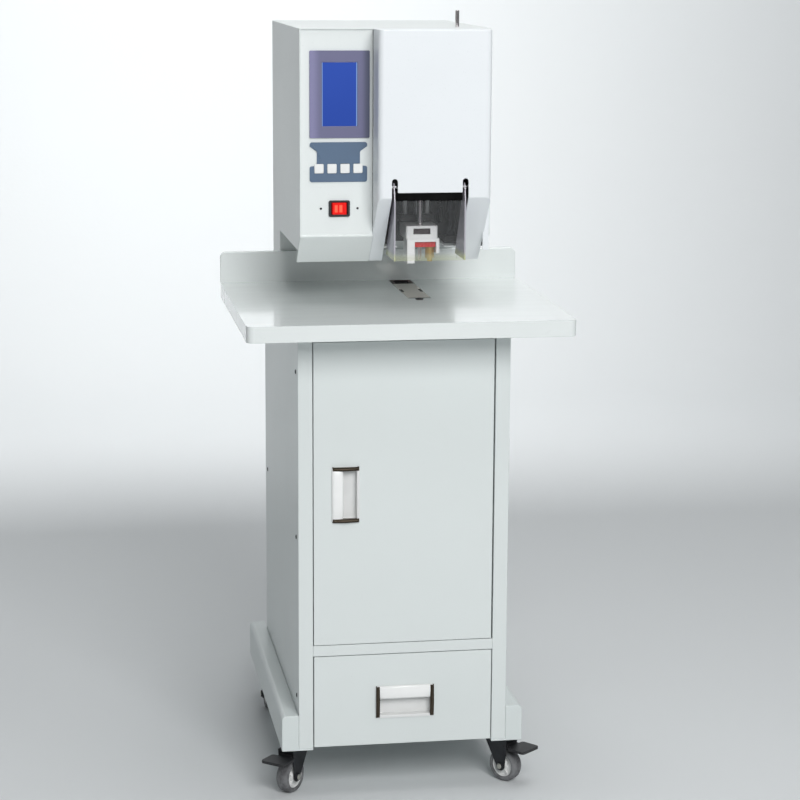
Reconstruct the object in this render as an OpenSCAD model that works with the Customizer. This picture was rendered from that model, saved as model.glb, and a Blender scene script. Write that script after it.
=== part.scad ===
// Floor-standing document riveting machine: a wheeled cabinet with a worktop and an overhanging drill head.
// Millimetres, +Z up, X to the right, Y to the back; the origin is on the floor under the middle.

/* [Cabinet] */
// Width of the cabinet
cab_w = 370; // [340:1:420]
// Depth of the cabinet
cab_d = 540; // [500:1:600]
// Thickness of the folded steel sheet
sheet = 2; // [1.5:0.1:2.5]
// Width of each front stile
stile_w = 25.5; // [22:0.5:30]
// Depth of the folded front frame
frame_d = 20; // [19:1:26]
// Height of the drawer opening
drawer_h = 168; // [150:1:190]
// Height of the rail between the drawer and the door
rail_h = 19; // [14:1:30]
// Height of the rail above the door
top_rail_h = 41; // [34:1:60]
// Height of the shelf above the underside of the side panels
shelf_h = 408; // [360:1:460]
// Gap around the door and the drawer front
front_gap = 1.5; // [1:0.1:2.5]
// Depth of the door and of the drawer front
front_t = 18; // [15:1:18]
// Diameter of the door's hinge pins
hinge_pin_d = 5; // [4:0.5:6]
// Length of the drawer box
drawer_l = 400; // [340:1:440]
// Distance between the drawer box and a side panel
rail_space = 38; // [34:1:44]

/* [Base and castors] */
// Height of the base above the floor
base_z = 90; // [86:1:100]
// Height of the base runners
runner_h = 65; // [50:1:80]
// Width of a runner beside the cabinet
runner_w = 30; // [26:1:40]
// Length of the runners behind the cabinet
runner_tail = 40; // [20:1:60]
// Thickness of the base's bottom plates
plate_t = 4; // [3:0.5:6]
// Rounding of the runners' outer top edge
runner_r = 8; // [4:1:12]
// Distance of a castor stem inside the cabinet's side
castor_inset = 2; // [0:0.5:6]
// Distance of a castor stem from the end of the runner
castor_in = 60; // [55:1:80]
// Diameter of the wheels
wheel_d = 60; // [54:1:64]
// Width of the wheels
wheel_w = 24; // [20:1:28]
// Trail of the wheel behind the castor stem
trail = 20; // [16:1:24]
// Diameter of a castor stem
stem_d = 10; // [8:1:12]
// Diameter of a wheel axle
axle_d = 8; // [6:1:10]
// Outward turn of the front castors, in degrees
castor_turn = 40; // [0:5:60]

/* [Worktop] */
// Height of the worktop surface above the floor
table_z = 863; // [830:1:900]
// Width of the worktop
table_w = 560; // [520:1:620]
// Reach of the worktop in front of the cabinet
table_reach = 90; // [70:1:110]
// Height of the apron around the worktop
apron_h = 28; // [22:1:34]
// Rounding of the worktop's corners
table_r = 12; // [6:1:18]
// Distance of the paper stop behind the cabinet's front
stop_back = 415; // [400:1:430]
// Height of the paper stop above the worktop
stop_h = 58; // [40:1:70]
// Thickness of the paper stop
stop_t = 12; // [8:1:16]
// Width of the insert plate
insert_w = 40; // [36:1:46]

/* [Head] */
// Width of the head
head_w = 335; // [325:1:350]
// Distance of the head's front behind the cabinet's front
head_back = 108; // [100:1:116]
// Height of the top of the head
head_top = 1342; // [1330:1:1360]
// Height of the lower edge of the head's sides above the worktop
head_gap = 95; // [90:1:99]
// Height of the chin's lower edge above the worktop
chin_gap = 72; // [66:1:80]
// Depth and height of the sloping chin under the front panel
chin_d = 50; // [46:1:54]
// Recess of the front panel
panel_recess = 3; // [2:0.5:5]
// Left wall of the drill cover, from the middle of the machine
cover_left = -40; // [-44:1:-36]
// Right wall of the drill cover, from the middle of the machine
cover_right = 157; // [152:1:160]
// Depth of the drill cover in front of the head
cover_d = 60; // [54:1:66]
// Rounding of the drill cover's front corners
cover_r = 10; // [6:1:14]
// Wall of the drill cover
cover_t = 2.5; // [2:0.1:3]
// Height of the drill cover's slope
slope_h = 122; // [116:1:130]
// Height of the window's top above the start of the slope
window_rise = 9; // [6:1:12]
// Width of the window
window_w = 133; // [128:1:136]
// Width of the two slots at the window's upper corners
slot_w = 10; // [9:1:12]
// Height of the slots above the window
slot_h = 24; // [22:1:28]
// Thickness of the clear guard
guard_t = 2; // [1.5:0.1:3]
// Height of the clear guard's front
guard_h = 103; // [95:1:106]
// Diameter of the guard's hinge rod
guard_rod_d = 5; // [4:0.5:6]

/* [Controls] */
// Width of the display bezel
lcd_w = 104; // [90:1:110]
// Width of the display glass
glass_w = 61; // [50:1:70]
// Width of the key panel
keypad_w = 100; // [96:1:106]
// Size of a key
key_s = 16; // [12:1:18]
// Distance between two keys
key_pitch = 22.6; // [21:0.1:24]
// Travel of a key
key_travel = 1; // [0.5:0.1:1.5]
// Width of the power switch
switch_w = 37; // [32:1:40]

/* [Drill and rivet mechanism] */
// Drill axis, from the middle of the machine
axis_x = 54; // [50:1:58]
// Distance of the drill axis behind the cabinet's front
axis_back = 172; // [168:1:176]
// Height of the press foot above the worktop
foot_gap = 67; // [64:1:70]
// Travel of the drill carriage
lift_travel = 72; // [50:1:72]
// Diameter of the guide posts
post_d = 16; // [12:1:18]
// Distance of each guide post from the drill axis
post_x = 62; // [58:1:64]
// Diameter of the lead screw
screw_d = 12; // [8:1:14]
// Diameter of the spindle
spindle_d = 24; // [20:1:28]
// Diameter of the chuck
chuck_d = 18; // [14:1:22]
// Diameter of the hollow drill's shank
shank_d = 10.5; // [8:0.5:12]
// Diameter of the hollow drill's cutting tip
drill_d = 6; // [5:0.5:7]
// Diameter of the drill motor
motor_d = 60; // [50:1:66]
// Distance of the drill motor from the drill axis
motor_x = 116; // [112:1:118]
// Diameter of the spindle pulley
pulley_d = 50; // [40:1:52]
// Width of the press foot
foot_w = 57; // [50:1:64]
// Diameter of the press foot's rods
rod_d = 8; // [6:1:9]
// Outer diameter of the rivet feed tube
feed_d = 7; // [6:0.5:10]
// Height of the feed tube above the head
feed_rise = 29; // [15:1:40]

/* [Hidden] */
$fn = 48;
running = 0.05;         // radial clearance of a running fit
touch = 0.3;            // gap between neighbours that move past each other

front_y = (table_reach - cab_d - runner_tail) / 2;
function at(d) = front_y + d;       // a depth behind the cabinet's front plane

half_w = cab_w / 2;
open_w = half_w - stile_w;          // half of the front opening
panel_z = base_z + plate_t;
under_z = table_z - sheet;
rail_z = panel_z + drawer_h;
door_z = rail_z + rail_h;
top_rail_z = under_z - top_rail_h;
runner_l = cab_d + runner_tail;
shelf_z = panel_z + shelf_h;

hinge_in = 7.5;                     // hinge axis inward from the opening's right side
hinge_back = 5;                     // hinge axis behind the door's face
hinge_gap = 2.5;                    // gap beside the hinge
hinge_reach = 8;                    // how far a pin stands into its rail
hinge_x = open_w - hinge_in;
hinge_y = at(hinge_back);

front_half = open_w - front_gap;    // half of the door's and drawer front's width
pull_w = 104;
pull_h = 59;
door_pull_l = 99;
door_pull_w = 49;
door_pull_x = -102.5;
door_pull_z = door_z + 270.5;
drawer_pull_x = 3;
drawer_pull_z = panel_z + 80;
pull_proud = 2.5;
pull_deep = 14;
pull_rim = 5;
pull_r = 6;
box_half = half_w - sheet - rail_space;
box_z = panel_z + 8;
box_h = drawer_h - 30;
screw_head_d = 8;
screw_head_t = 1.5;
screw_in = 28;                      // side screws behind the cabinet's front edge
screw_out = 38;                     // side screw in front of the cabinet's rear edge
inlet_x = -110;
inlet_z = panel_z + 121;
inlet_w = 27.5;
inlet_h = 20;
vent_pitch = 14;
vent_h = 5;
supply_x = -120;
supply_w = 130;
supply_l = 110;
supply_h = 50;

stem_x = half_w - castor_inset;
stem_y = [at(castor_in), at(runner_l - castor_in)];
stem_h = plate_t;
race_d = 42;
race_h = 9;
crown_t = 5;
leg_t = 2.5;
side_play = 1.5;                    // between a wheel and its fork
fork_in = wheel_w / 2 + side_play;
axle_z = wheel_d / 2;
crown_z = base_z - touch - race_h - crown_t;
pedal_w = 48;
pedal_l = 38;
pedal_t = 5;
pedal_pin_d = 5;
pedal_pin_y = -trail - 10;
pedal_pin_z = wheel_d + 10;

side_z = table_z + head_gap;
chin_z = table_z + chin_gap;
chin_top = chin_z + chin_d;
half_head = head_w / 2;
head_y = at(head_back);
cover_y = head_y - cover_d;
chin_y = head_y + chin_d;
slope_z = chin_z + slope_h;
window_x = (cover_left + cover_right - 16) / 2;
window_z = slope_z + window_rise;
stop_y = at(stop_back);
column_y = stop_y + stop_t;
rear_y = at(cab_d);
face_y = head_y + panel_recess;

axis_y = at(axis_back);
foot_z = table_z + foot_gap;
plate_z = foot_z + 44;              // underside of the press foot's plate
plate_h = 23;
foot_top = plate_z + plate_h;
guide_z = foot_top + 2;             // the block that guides the foot's rods
guide_h = 12;
foot_travel = lift_travel - 10;
low_z = guide_z + guide_h + 2 + lift_travel;    // underside of the carriage at rest
deck_t = 15;
top_plate_z = head_top - 27;
mech_h = top_plate_z - low_z;       // height for the carriage and the lift motor
carriage_h = mech_h * 8 / 23;
carriage_top = low_z + carriage_h;
carriage_half = 78;
carriage_front = 28;
carriage_back = 58;
carriage_web = 10.4;
bearing_h = 7;
chuck_h = 18;
chuck_gap = 16;                     // spindle showing between the carriage and the chuck
spindle_low = low_z - bearing_h - chuck_gap;
hollow_d = 4;
motor_h = 96;
motor_boss_d = 19;
motor_shaft_d = 8;
small_pulley_d = 26;
bracket_t = 6;
heater_h = 10;
foot_l = 74;
foot_back = 15;
screw_end = 12;                     // depth of the motor shaft's hole in the coupling
pulley_z = carriage_top + 15;
pulley_h = 15;
lug_h = 12;
screw_back = 34;                    // lead screw behind the drill axis
post_back = 36;
rod_back = 42;
rod_x = 20;
post_lug = 14;                      // half width of the lug under a post
guide_half = 30;
frame_back = 62;                    // the C-frame's plate behind the drill axis
frame_t = 10;
frame_half = 84;
column_d = 70;
column_back = 30;                   // between the column and the rear cover
web_t = 8;                          // the C-frame's side webs and the column's walls
base_flange = 15;
arm_z = side_z + 42;
foot_hole = [[axis_x - foot_w / 2 - 13.5, axis_x + foot_w / 2 + 13.5], [axis_y - 30, axis_y + frame_back]];
belt_y = 10;                        // drill motor behind the drill axis
lift_w = 56;
lift_h = mech_h * 6 / 23;
coupling_d = 24;
coupling_h = 25;
bore = 2 * running;

row = (head_top - chin_top) / 24;   // the front panel's controls stand on 24 rows
insert_y = [axis_y + 14, stop_y - 2];
insert_x = axis_x + 3;
insert_gap = 0.4;
ledge = 8;
notch_w = 11;
notch_y = [axis_y + 90, axis_y + 128];
die_neck_d = 14;
die_body_d = 24;
die_h = 16;
die_rise = 2;
rod_y = cover_y + 14;               // the guard's hinge rod
rod_z = window_z + 9;
lug_t = 6;
lug_gap = 3;
guard_half = window_w / 2 - slot_w / 2 + guard_t / 2;
guard_top = slope_z - 5;
guard_flange = 90;                  // depth of the guard's sides at their lower edge
guard_tab = 7;
feed_x = axis_x + 63;
feed_y = axis_y - 3;
lcd_x = -98;
lcd_z = head_top - 7.5 * row;
lcd_h = 10 * row;
glass_h = 7.3 * row;
keypad_x = -100;
keypad_z = lcd_z - 7.8 * row;
keypad_h = 4.6 * row;
key_row_z = keypad_z - 0.75 * row;
switch_x = -98.5;
switch_z = keypad_z - 5.4 * row;
switch_h = 1.9 * row;
lip = 3;                            // how far the bezels stand in front of the panel
bezel_rim = 6.5;                    // rim of the bezel outside the panel's cut-out
key_stem = 8;
key_r = 2;
rocker_w = switch_w - 10;
rocker_h = switch_h - 8;
rocker_y = face_y + 2;
rocker_pin_d = 3;
switch_d = 22;                      // depth of the switch body behind the panel

// ---------- shared shapes ----------
module block(x, y, z) {
    translate([x[0], y[0], z[0]]) cube([x[1] - x[0], y[1] - y[0], z[1] - z[0]]);
}

module rod(x, y, z, d) {
    translate([x, y, z[0]]) cylinder(h = z[1] - z[0], d = d);
}

module cross_rod(x, y, z, d) {
    translate([x[0], y, z]) rotate([0, 90, 0]) cylinder(h = x[1] - x[0], d = d);
}

module rounded(w, h, r) {
    square([w - 2 * r, h], center = true);
    square([w, h - 2 * r], center = true);
    for (sx = [-1, 1], sz = [-1, 1]) translate([sx * (w / 2 - r), sz * (h / 2 - r)]) circle(r);
}

// An upright plate seen from the front, with rounded corners
module face_plate(x, z, w, h, y, r) {
    translate([x, y[1], z]) rotate([90, 0, 0]) linear_extrude(y[1] - y[0]) rounded(w, h, r);
}

// A side profile, drawn as [depth, height] points, pushed from x[0] to x[1]
module side_profile(x, points) {
    translate([x[0], 0, 0]) rotate([90, 0, 90]) linear_extrude(x[1] - x[0]) polygon(points);
}

// ---------- base and cabinet ----------
module runner_outline(inset) {
    w = runner_w - 2 * inset;
    h = runner_h - 2 * inset;
    r = max(runner_r - inset, 1);
    translate([half_w + inset, base_z + inset]) {
        square([w - r, h]);
        square([w, h - r]);
        translate([w - r, h - r]) circle(r);
    }
}

module runner() {
    translate([0, at(runner_l), 0]) rotate([90, 0, 0]) linear_extrude(runner_l) difference() {
        runner_outline(0);
        runner_outline(plate_t);
    }
    for (y = [at(0), at(runner_l) - plate_t]) {
        translate([0, y + plate_t, 0]) rotate([90, 0, 0]) linear_extrude(plate_t) runner_outline(0);
    }
    block([open_w, half_w], [at(0), at(cab_d)], [base_z, panel_z]);
}

module base_frame() {
    color("gainsboro") difference() {
        union() {
            runner();
            mirror([1, 0, 0]) runner();
            block([-half_w, half_w], [at(frame_d), at(cab_d)], [panel_z - sheet, panel_z]);
            for (y = [at(frame_d), at(cab_d - 3 * frame_d)]) {
                block([-open_w, open_w], [y, y + 3 * frame_d], [base_z, panel_z]);
            }
        }
        for (side = [-1, 1], y = stem_y) rod(side * stem_x, y, [base_z - 1, base_z + stem_h], stem_d + bore);
    }
}

module side_panel() {
    translate([0, 0, panel_z]) linear_extrude(under_z - panel_z) {
        translate([half_w - sheet, at(0)]) square([sheet, cab_d]);
        translate([open_w, at(0)]) square([stile_w, sheet]);
        translate([open_w, at(0)]) square([sheet, frame_d]);
    }
}

module side_panel_left() { color("whitesmoke") mirror([1, 0, 0]) side_panel(); }
module side_panel_right() { color("whitesmoke") side_panel(); }

module back_panel() {
    color("whitesmoke") difference() {
        block([sheet - half_w, half_w - sheet], [rear_y - sheet, rear_y], [panel_z, under_z]);
        block([inlet_x - inlet_w / 2, inlet_x + inlet_w / 2], [rear_y - 2 * sheet, rear_y + 1],
            [inlet_z - inlet_h / 2, inlet_z + inlet_h / 2]);
        for (i = [0:7]) face_plate(0, under_z - 90 - i * vent_pitch, 160, vent_h, [rear_y - 2 * sheet, rear_y + 1], 2.4);
    }
}

module rail(z, h) {
    block([-open_w, open_w], [at(0), at(sheet)], [z, z + h]);
    block([-open_w, open_w], [at(0), at(frame_d)], [z, z + sheet]);
    block([-open_w, open_w], [at(0), at(frame_d)], [z + h - sheet, z + h]);
}

module front_rails() {
    color("whitesmoke") difference() {
        union() {
            rail(rail_z, rail_h);
            rail(top_rail_z, top_rail_h);
        }
        rod(hinge_x, hinge_y, [door_z - hinge_reach - 1, door_z + 1], hinge_pin_d + bore);
        rod(hinge_x, hinge_y, [top_rail_z - 1, top_rail_z + hinge_reach + 1], hinge_pin_d + bore);
    }
}

module shelf() {
    x = [sheet - half_w, half_w - sheet];
    y = [at(frame_d + 10), rear_y - sheet];
    color("lightgray") {
        block(x, y, [shelf_z, shelf_z + sheet]);
        block(x, [y[0], y[0] + sheet], [shelf_z - 18, shelf_z]);
        for (side = [0, 1]) block([x[side] - side * sheet, x[side] + (1 - side) * sheet], y,
            [shelf_z - 18, shelf_z]);
    }
}

// ---------- door and drawer ----------
// A folded pan, open at the back
module pan(x, z) {
    difference() {
        block(x, [at(0), at(front_t)], z);
        block([x[0] + sheet, x[1] - sheet], [at(sheet), at(front_t) + 1], [z[0] + sheet, z[1] - sheet]);
    }
}

module door_panel() {
    z = [door_z + front_gap, top_rail_z - front_gap];
    color("whitesmoke") difference() {
        pan([-front_half, open_w - hinge_gap], z);
        face_plate(door_pull_x, door_pull_z, door_pull_w - 2 * pull_proud, door_pull_l - 2 * pull_proud,
            [at(-1), at(sheet + 1)], pull_r - pull_proud);
        rod(hinge_x, hinge_y, [z[0] - 1, z[1] + 1], hinge_pin_d);
    }
}

module hinge_pins() {
    color("silver") for (z = [door_z, top_rail_z]) {
        rod(hinge_x, hinge_y, [z - hinge_reach, z + hinge_reach], hinge_pin_d);
    }
}

// A recessed pull with its grip along the top, its flange standing proud of the face at depth 0
module pull(w, h) {
    grip = h * 0.3;
    difference() {
        union() {
            face_plate(0, 0, w, h, [-pull_proud, 0], pull_r);
            face_plate(0, 0, w - 2 * pull_proud, h - 2 * pull_proud, [0, pull_deep], pull_r - pull_proud);
        }
        block([pull_rim - w / 2, w / 2 - pull_rim], [-pull_proud - 1, pull_deep - sheet],
            [pull_rim - h / 2, h / 2 - grip]);
        block([pull_rim - w / 2, w / 2 - pull_rim], [sheet, pull_deep - sheet],
            [pull_rim - h / 2, h / 2 - pull_rim]);
    }
}

module door_pull() {
    color("white") translate([door_pull_x, at(0), door_pull_z]) rotate([0, -90, 0]) pull(door_pull_l, door_pull_w);
}

module drawer_front() {
    color("whitesmoke") difference() {
        pan([-front_half, front_half], [panel_z + front_gap, rail_z - front_gap]);
        face_plate(drawer_pull_x, drawer_pull_z, pull_w - 2 * pull_proud, pull_h - 2 * pull_proud,
            [at(-1), at(sheet + 1)], pull_r - pull_proud);
    }
}

module drawer_pull() {
    color("white") translate([drawer_pull_x, at(0), drawer_pull_z]) pull(pull_w, pull_h);
}

module drawer_box() {
    y = [at(front_t), at(front_t + drawer_l)];
    color("silver") difference() {
        block([-box_half, box_half], y, [box_z, box_z + box_h]);
        block([sheet - box_half, box_half - sheet], [y[0] + sheet, y[1] - sheet], [box_z + sheet, box_z + box_h + 1]);
    }
    color("silver") for (z = [[panel_z + front_gap, box_z], [box_z + box_h, rail_z - front_gap]]) {
        block([-front_half, front_half], [y[0], y[0] + sheet], z);
    }
    color("silver") for (side = [0, 1]) mirror([side, 0, 0]) {
        block([box_half, front_half], [y[0], y[0] + sheet], [box_z, box_z + box_h]);
    }
}

module drawer_rails() {
    z = box_z + box_h / 2;
    color("dimgray") for (side = [0, 1]) mirror([side, 0, 0]) {
        block([box_half + touch, half_w - stile_w], [at(frame_d + sheet), at(frame_d + drawer_l)], [z - 18, z + 18]);
        for (y = [at(frame_d + 30), at(frame_d + drawer_l - 60)]) {
            block([half_w - stile_w, half_w - sheet], [y, y + 30], [z - 18, z + 18]);
        }
    }
}

module cover_screws() {
    color("dimgray") {
        for (side = [0, 1]) mirror([side, 0, 0]) {
            for (p = [[screw_in, top_rail_z - 56], [screw_in, shelf_z - 30], [screw_in, rail_z - 78],
                [cab_d - screw_out, shelf_z - 18]]) {
                cross_rod([half_w, half_w + screw_head_t], at(p[0]), p[1], screw_head_d);
            }
        }
        for (x = [switch_x - switch_w / 2 - 13.5, switch_x + switch_w / 2 + 13.5]) {
            translate([x, face_y, switch_z]) rotate([90, 0, 0]) cylinder(h = screw_head_t, d = screw_head_d / 2);
        }
    }
}

// ---------- worktop ----------
module table_outline(inset) {
    depth = table_reach + stop_back + stop_t;
    translate([0, at(-table_reach) + depth / 2]) rounded(table_w - 2 * inset, depth - 2 * inset, table_r - inset / 2);
}

module worktop() {
    tongue = half_w - sheet;
    color("gainsboro") difference() {
        union() {
            translate([0, 0, under_z]) linear_extrude(sheet) table_outline(0);
            translate([0, 0, table_z - apron_h]) linear_extrude(apron_h) difference() {
                table_outline(0);
                table_outline(sheet);
            }
            block([-tongue, tongue], [column_y - 1, rear_y], [under_z, table_z]);
            paper_stop();
        }
        block([-half_w, half_w], [at(0), rear_y + 1], [table_z - apron_h - 1, under_z]);
        block([insert_x - insert_w / 2 - insert_gap, insert_x + insert_w / 2 + insert_gap],
            [insert_y[0] - insert_gap, insert_y[1] + insert_gap], [under_z - 1, table_z + 1]);
        rod(axis_x, axis_y, [under_z - 1, table_z + 1], die_neck_d);
    }
}

// The folded stop behind the worktop: hollow, with rounded top corners
module paper_stop() {
    difference() {
        translate([0, column_y, 0]) rotate([90, 0, 0]) linear_extrude(stop_t) stop_outline(0);
        translate([0, column_y - sheet, 0]) rotate([90, 0, 0]) linear_extrude(stop_t - 2 * sheet) stop_outline(sheet);
    }
}

module stop_outline(inset) {
    r = table_r - inset;
    half = table_w / 2 - inset;
    top = table_z + stop_h - inset;
    translate([-half + r, table_z - inset]) square([2 * (half - r), top - table_z + inset]);
    translate([-half, table_z - inset]) square([2 * half, top - r - table_z + inset]);
    for (side = [-1, 1]) translate([side * (half - r), top - r]) circle(r);
}

module insert_plate() {
    color("silver") difference() {
        union() {
            block([insert_x - insert_w / 2, insert_x + insert_w / 2], insert_y, [under_z, table_z]);
            block([insert_x - insert_w / 2 - ledge, insert_x + insert_w / 2 + ledge],
                [insert_y[0], insert_y[1] + ledge / 2], [under_z - sheet, under_z]);
        }
        block([insert_x - insert_w / 2 + 6, insert_x + insert_w / 2 - 6], [insert_y[1] - 50, insert_y[1] - 5],
            [under_z - 2 * sheet, table_z + 1]);
        for (side = [-1, 1]) {
            x = insert_x + side * insert_w / 2;
            block([x - notch_w / 2, x + notch_w / 2], notch_y, [under_z, table_z + 1]);
        }
    }
}

module lower_die() {
    color("silver") difference() {
        union() {
            rod(axis_x, axis_y, [under_z - die_h, under_z], die_body_d);
            rod(axis_x, axis_y, [under_z, table_z + die_rise], die_neck_d);
        }
        rod(axis_x, axis_y, [under_z - die_h - 1, table_z + die_rise + 1], drill_d + 0.5);
    }
}

// ---------- head ----------
// Depth of the chin sheet's inner face at a height
function chin_back(z) = chin_y - (z - chin_z - 2 * sheet) * (chin_y - face_y - sheet) / (chin_d - 3 * sheet);

module head_cover() {
    inner = half_head - sheet;
    color("lightgray") {
        for (side = [0, 1]) mirror([side, 0, 0]) {
            side_profile([inner, half_head], [[head_y, head_top], [head_y, chin_top + touch],
                [face_y + sheet + touch, chin_top + touch], [chin_back(side_z) + 2 * touch, side_z],
                [column_y, side_z], [column_y, table_z], [rear_y, table_z], [rear_y, head_top]]);
        }
        difference() {
            block([-inner, inner], [head_y, rear_y], [head_top - sheet, head_top]);
            rod(feed_x, feed_y, [head_top - 2 * sheet, head_top + 1], feed_d + 2 * touch);
        }
        difference() {
            block([-inner, inner], [chin_y + sheet, column_y + sheet], [side_z, side_z + sheet]);
            block(foot_hole[0], foot_hole[1], [side_z - 1, side_z + sheet + 1]);
        }
        block([-inner, inner], [column_y, column_y + sheet], [table_z, side_z]);
    }
}

module rear_cover() {
    inner = half_head - sheet;
    color("gainsboro") difference() {
        block([-inner, inner], [rear_y - sheet, rear_y], [table_z, head_top - sheet]);
        for (i = [0:9]) face_plate(0, head_top - 80 - i * vent_pitch, 180, vent_h, [rear_y - 2 * sheet, rear_y + 1], 2.4);
    }
}

module fascia() {
    inner = half_head - sheet;
    color("gainsboro") difference() {
        union() {
            block([-inner, cover_left], [face_y, face_y + sheet], [chin_top - touch, head_top - sheet]);
            block([-inner, cover_left], [head_y, face_y + touch], [chin_top, chin_top + panel_recess]);
            side_profile([-half_head, cover_left], [[head_y, chin_top], [chin_y, chin_z], [chin_y + sheet, chin_z],
                [chin_y + sheet, side_z], [chin_y, side_z], [chin_y, chin_z + 2 * sheet],
                [face_y + sheet, chin_top - sheet], [face_y + sheet, chin_top]]);
        }
        block([lcd_x - lcd_w / 2 + 6, lcd_x + lcd_w / 2 - 6], [face_y - 1, face_y + sheet + 1],
            [lcd_z - lcd_h / 2 + 6, lcd_z + lcd_h / 2 - 6]);
        for (i = [0:3]) key_hole(i);
        block([switch_x - switch_w / 2 + 3, switch_x + switch_w / 2 - 3], [face_y - 1, face_y + sheet + 1],
            [switch_z - switch_h / 2 + 3, switch_z + switch_h / 2 - 3]);
    }
}

// The drill cover's outer form, or its hollow when inset, which runs out through the open back
slope_k = slope_h / (cover_d + chin_d);
function slope_at(y, inset) = slope_z - slope_k * (y - cover_y) + inset * sqrt(1 + slope_k * slope_k);

module cover_form(inset) {
    x = [cover_left + inset, cover_right - inset];
    y = cover_y + inset;
    r = max(cover_r - inset, 1);
    out = inset > 0 ? 1 : 0;
    join_z = slope_at(head_y, 0) + 10 + out;
    intersection() {
        side_profile(x, [[y, head_top - inset], [y, slope_at(y, inset)],
            [chin_y + out, slope_at(chin_y + out, inset)], [chin_y + out, join_z],
            [head_y + out, join_z], [head_y + out, head_top - inset]]);
        translate([0, 0, chin_z - 5]) linear_extrude(head_top - chin_z + 10) {
            translate([x[0] + r, y]) square([x[1] - x[0] - 2 * r, chin_y + 2 - y]);
            translate([x[0], y + r]) square([x[1] - x[0], chin_y + 2 - y - r]);
            for (cx = [x[0] + r, x[1] - r]) translate([cx, y + r]) circle(r);
        }
    }
}

module drill_cover() {
    half_window = window_w / 2;
    color("white") difference() {
        union() {
            difference() {
                cover_form(0);
                cover_form(cover_t);
            }
            block([cover_right - cover_t, half_head - sheet], [head_y, head_y + sheet], [side_z, head_top - sheet]);
            for (side = [-1, 1]) {
                x = window_x + side * (half_window + lug_gap + lug_t / 2);
                block([x - lug_t / 2, x + lug_t / 2], [cover_y + cover_t - 0.5, rod_y + 8], [rod_z - 8, rod_z + 8]);
            }
        }
        block([window_x - half_window, window_x + half_window], [cover_y - 1, chin_y + 2], [chin_z - 1, window_z]);
        for (side = [-1, 1]) {
            x = window_x + side * (half_window - slot_w / 2);
            block([x - slot_w / 2, x + slot_w / 2], [cover_y - 1, cover_y + cover_t + 1],
                [window_z - 1, window_z + slot_h - slot_w / 2]);
            translate([x, cover_y - 1, window_z + slot_h - slot_w / 2]) rotate([-90, 0, 0])
                cylinder(h = cover_t + 2, d = slot_w);
        }
        cross_rod([window_x - window_w, window_x + window_w], rod_y, rod_z, guard_rod_d);
    }
}

module clear_guard() {
    low = guard_top - guard_h;
    color("azure") difference() {
        union() {
            block([window_x - guard_half, window_x + guard_half], [cover_y, cover_y + guard_t], [low, guard_top]);
            for (side = [-1, 1]) {
                x = side < 0 ? window_x - guard_half : window_x + guard_half - guard_t;
                side_profile([x, x + guard_t], [[cover_y, low], [cover_y + guard_flange, low],
                    [rod_y + guard_tab, rod_z - guard_tab], [rod_y + guard_tab, rod_z], [rod_y - guard_tab, rod_z],
                    [cover_y, guard_top]]);
                cross_rod([x, x + guard_t], rod_y, rod_z, 2 * guard_tab);
            }
        }
        cross_rod([window_x - window_w, window_x + window_w], rod_y, rod_z, guard_rod_d + bore);
    }
}

module guard_rod() {
    half = window_w / 2 + lug_gap + lug_t;
    color("dimgray") cross_rod([window_x - half, window_x + half], rod_y, rod_z, guard_rod_d);
}

// ---------- controls ----------
module lcd_bezel() {
    color("slategray") difference() {
        union() {
            face_plate(lcd_x, lcd_z, lcd_w, lcd_h, [face_y - lip, face_y], 2);
            block([lcd_x - lcd_w / 2 + bezel_rim, lcd_x + lcd_w / 2 - bezel_rim], [face_y, face_y + 10],
                [lcd_z - lcd_h / 2 + bezel_rim, lcd_z + lcd_h / 2 - bezel_rim]);
        }
        block([lcd_x - glass_w / 2, lcd_x + glass_w / 2], [face_y - lip - 1, face_y],
            [lcd_z - glass_h / 2, lcd_z + glass_h / 2]);
    }
}

module lcd_glass() {
    color("royalblue") block([lcd_x - glass_w / 2, lcd_x + glass_w / 2], [face_y - lip + 1, face_y],
        [lcd_z - glass_h / 2, lcd_z + glass_h / 2]);
}

function key_x(i) = keypad_x + (i - 1.5) * key_pitch;

module key_hole(i) {
    block([key_x(i) - key_stem / 2 - touch, key_x(i) + key_stem / 2 + touch], [face_y - 1, face_y + sheet + 1],
        [key_row_z - key_stem / 2 - touch, key_row_z + key_stem / 2 + touch]);
}

module key_panel() {
    color("lightslategray") difference() {
        face_plate(keypad_x, keypad_z, keypad_w, keypad_h, [face_y - lip / 2, face_y], 4);
        for (i = [0:3]) {
            face_plate(key_x(i), key_row_z, key_s + 2 * touch, key_s + 2 * touch, [face_y - lip, face_y + 1], 2);
        }
    }
}

module key(i) {
    out = lip / 2 + key_travel + 0.5;
    color("white") {
        face_plate(key_x(i), key_row_z, key_s, key_s, [face_y - out, face_y - key_travel - touch], 2);
        block([key_x(i) - key_stem / 2, key_x(i) + key_stem / 2], [face_y - key_travel - touch, face_y + sheet + 2],
            [key_row_z - key_stem / 2, key_row_z + key_stem / 2]);
    }
}

module switch_housing() {
    body_w = switch_w - 6;
    body_h = switch_h - 6;
    color("black") difference() {
        union() {
            face_plate(switch_x, switch_z, switch_w, switch_h, [face_y - lip, face_y], 3);
            block([switch_x - body_w / 2, switch_x + body_w / 2], [face_y, face_y + switch_d],
                [switch_z - body_h / 2, switch_z + body_h / 2]);
        }
        block([switch_x - rocker_w / 2 - 0.6, switch_x + rocker_w / 2 + 0.6], [face_y - lip - 1, face_y + switch_d - 6],
            [switch_z - rocker_h / 2 - 0.4, switch_z + rocker_h / 2 + 0.4]);
        rod(switch_x, rocker_y, [switch_z - body_h / 2 - 1, switch_z + body_h / 2 + 1], rocker_pin_d + bore);
    }
}

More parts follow.
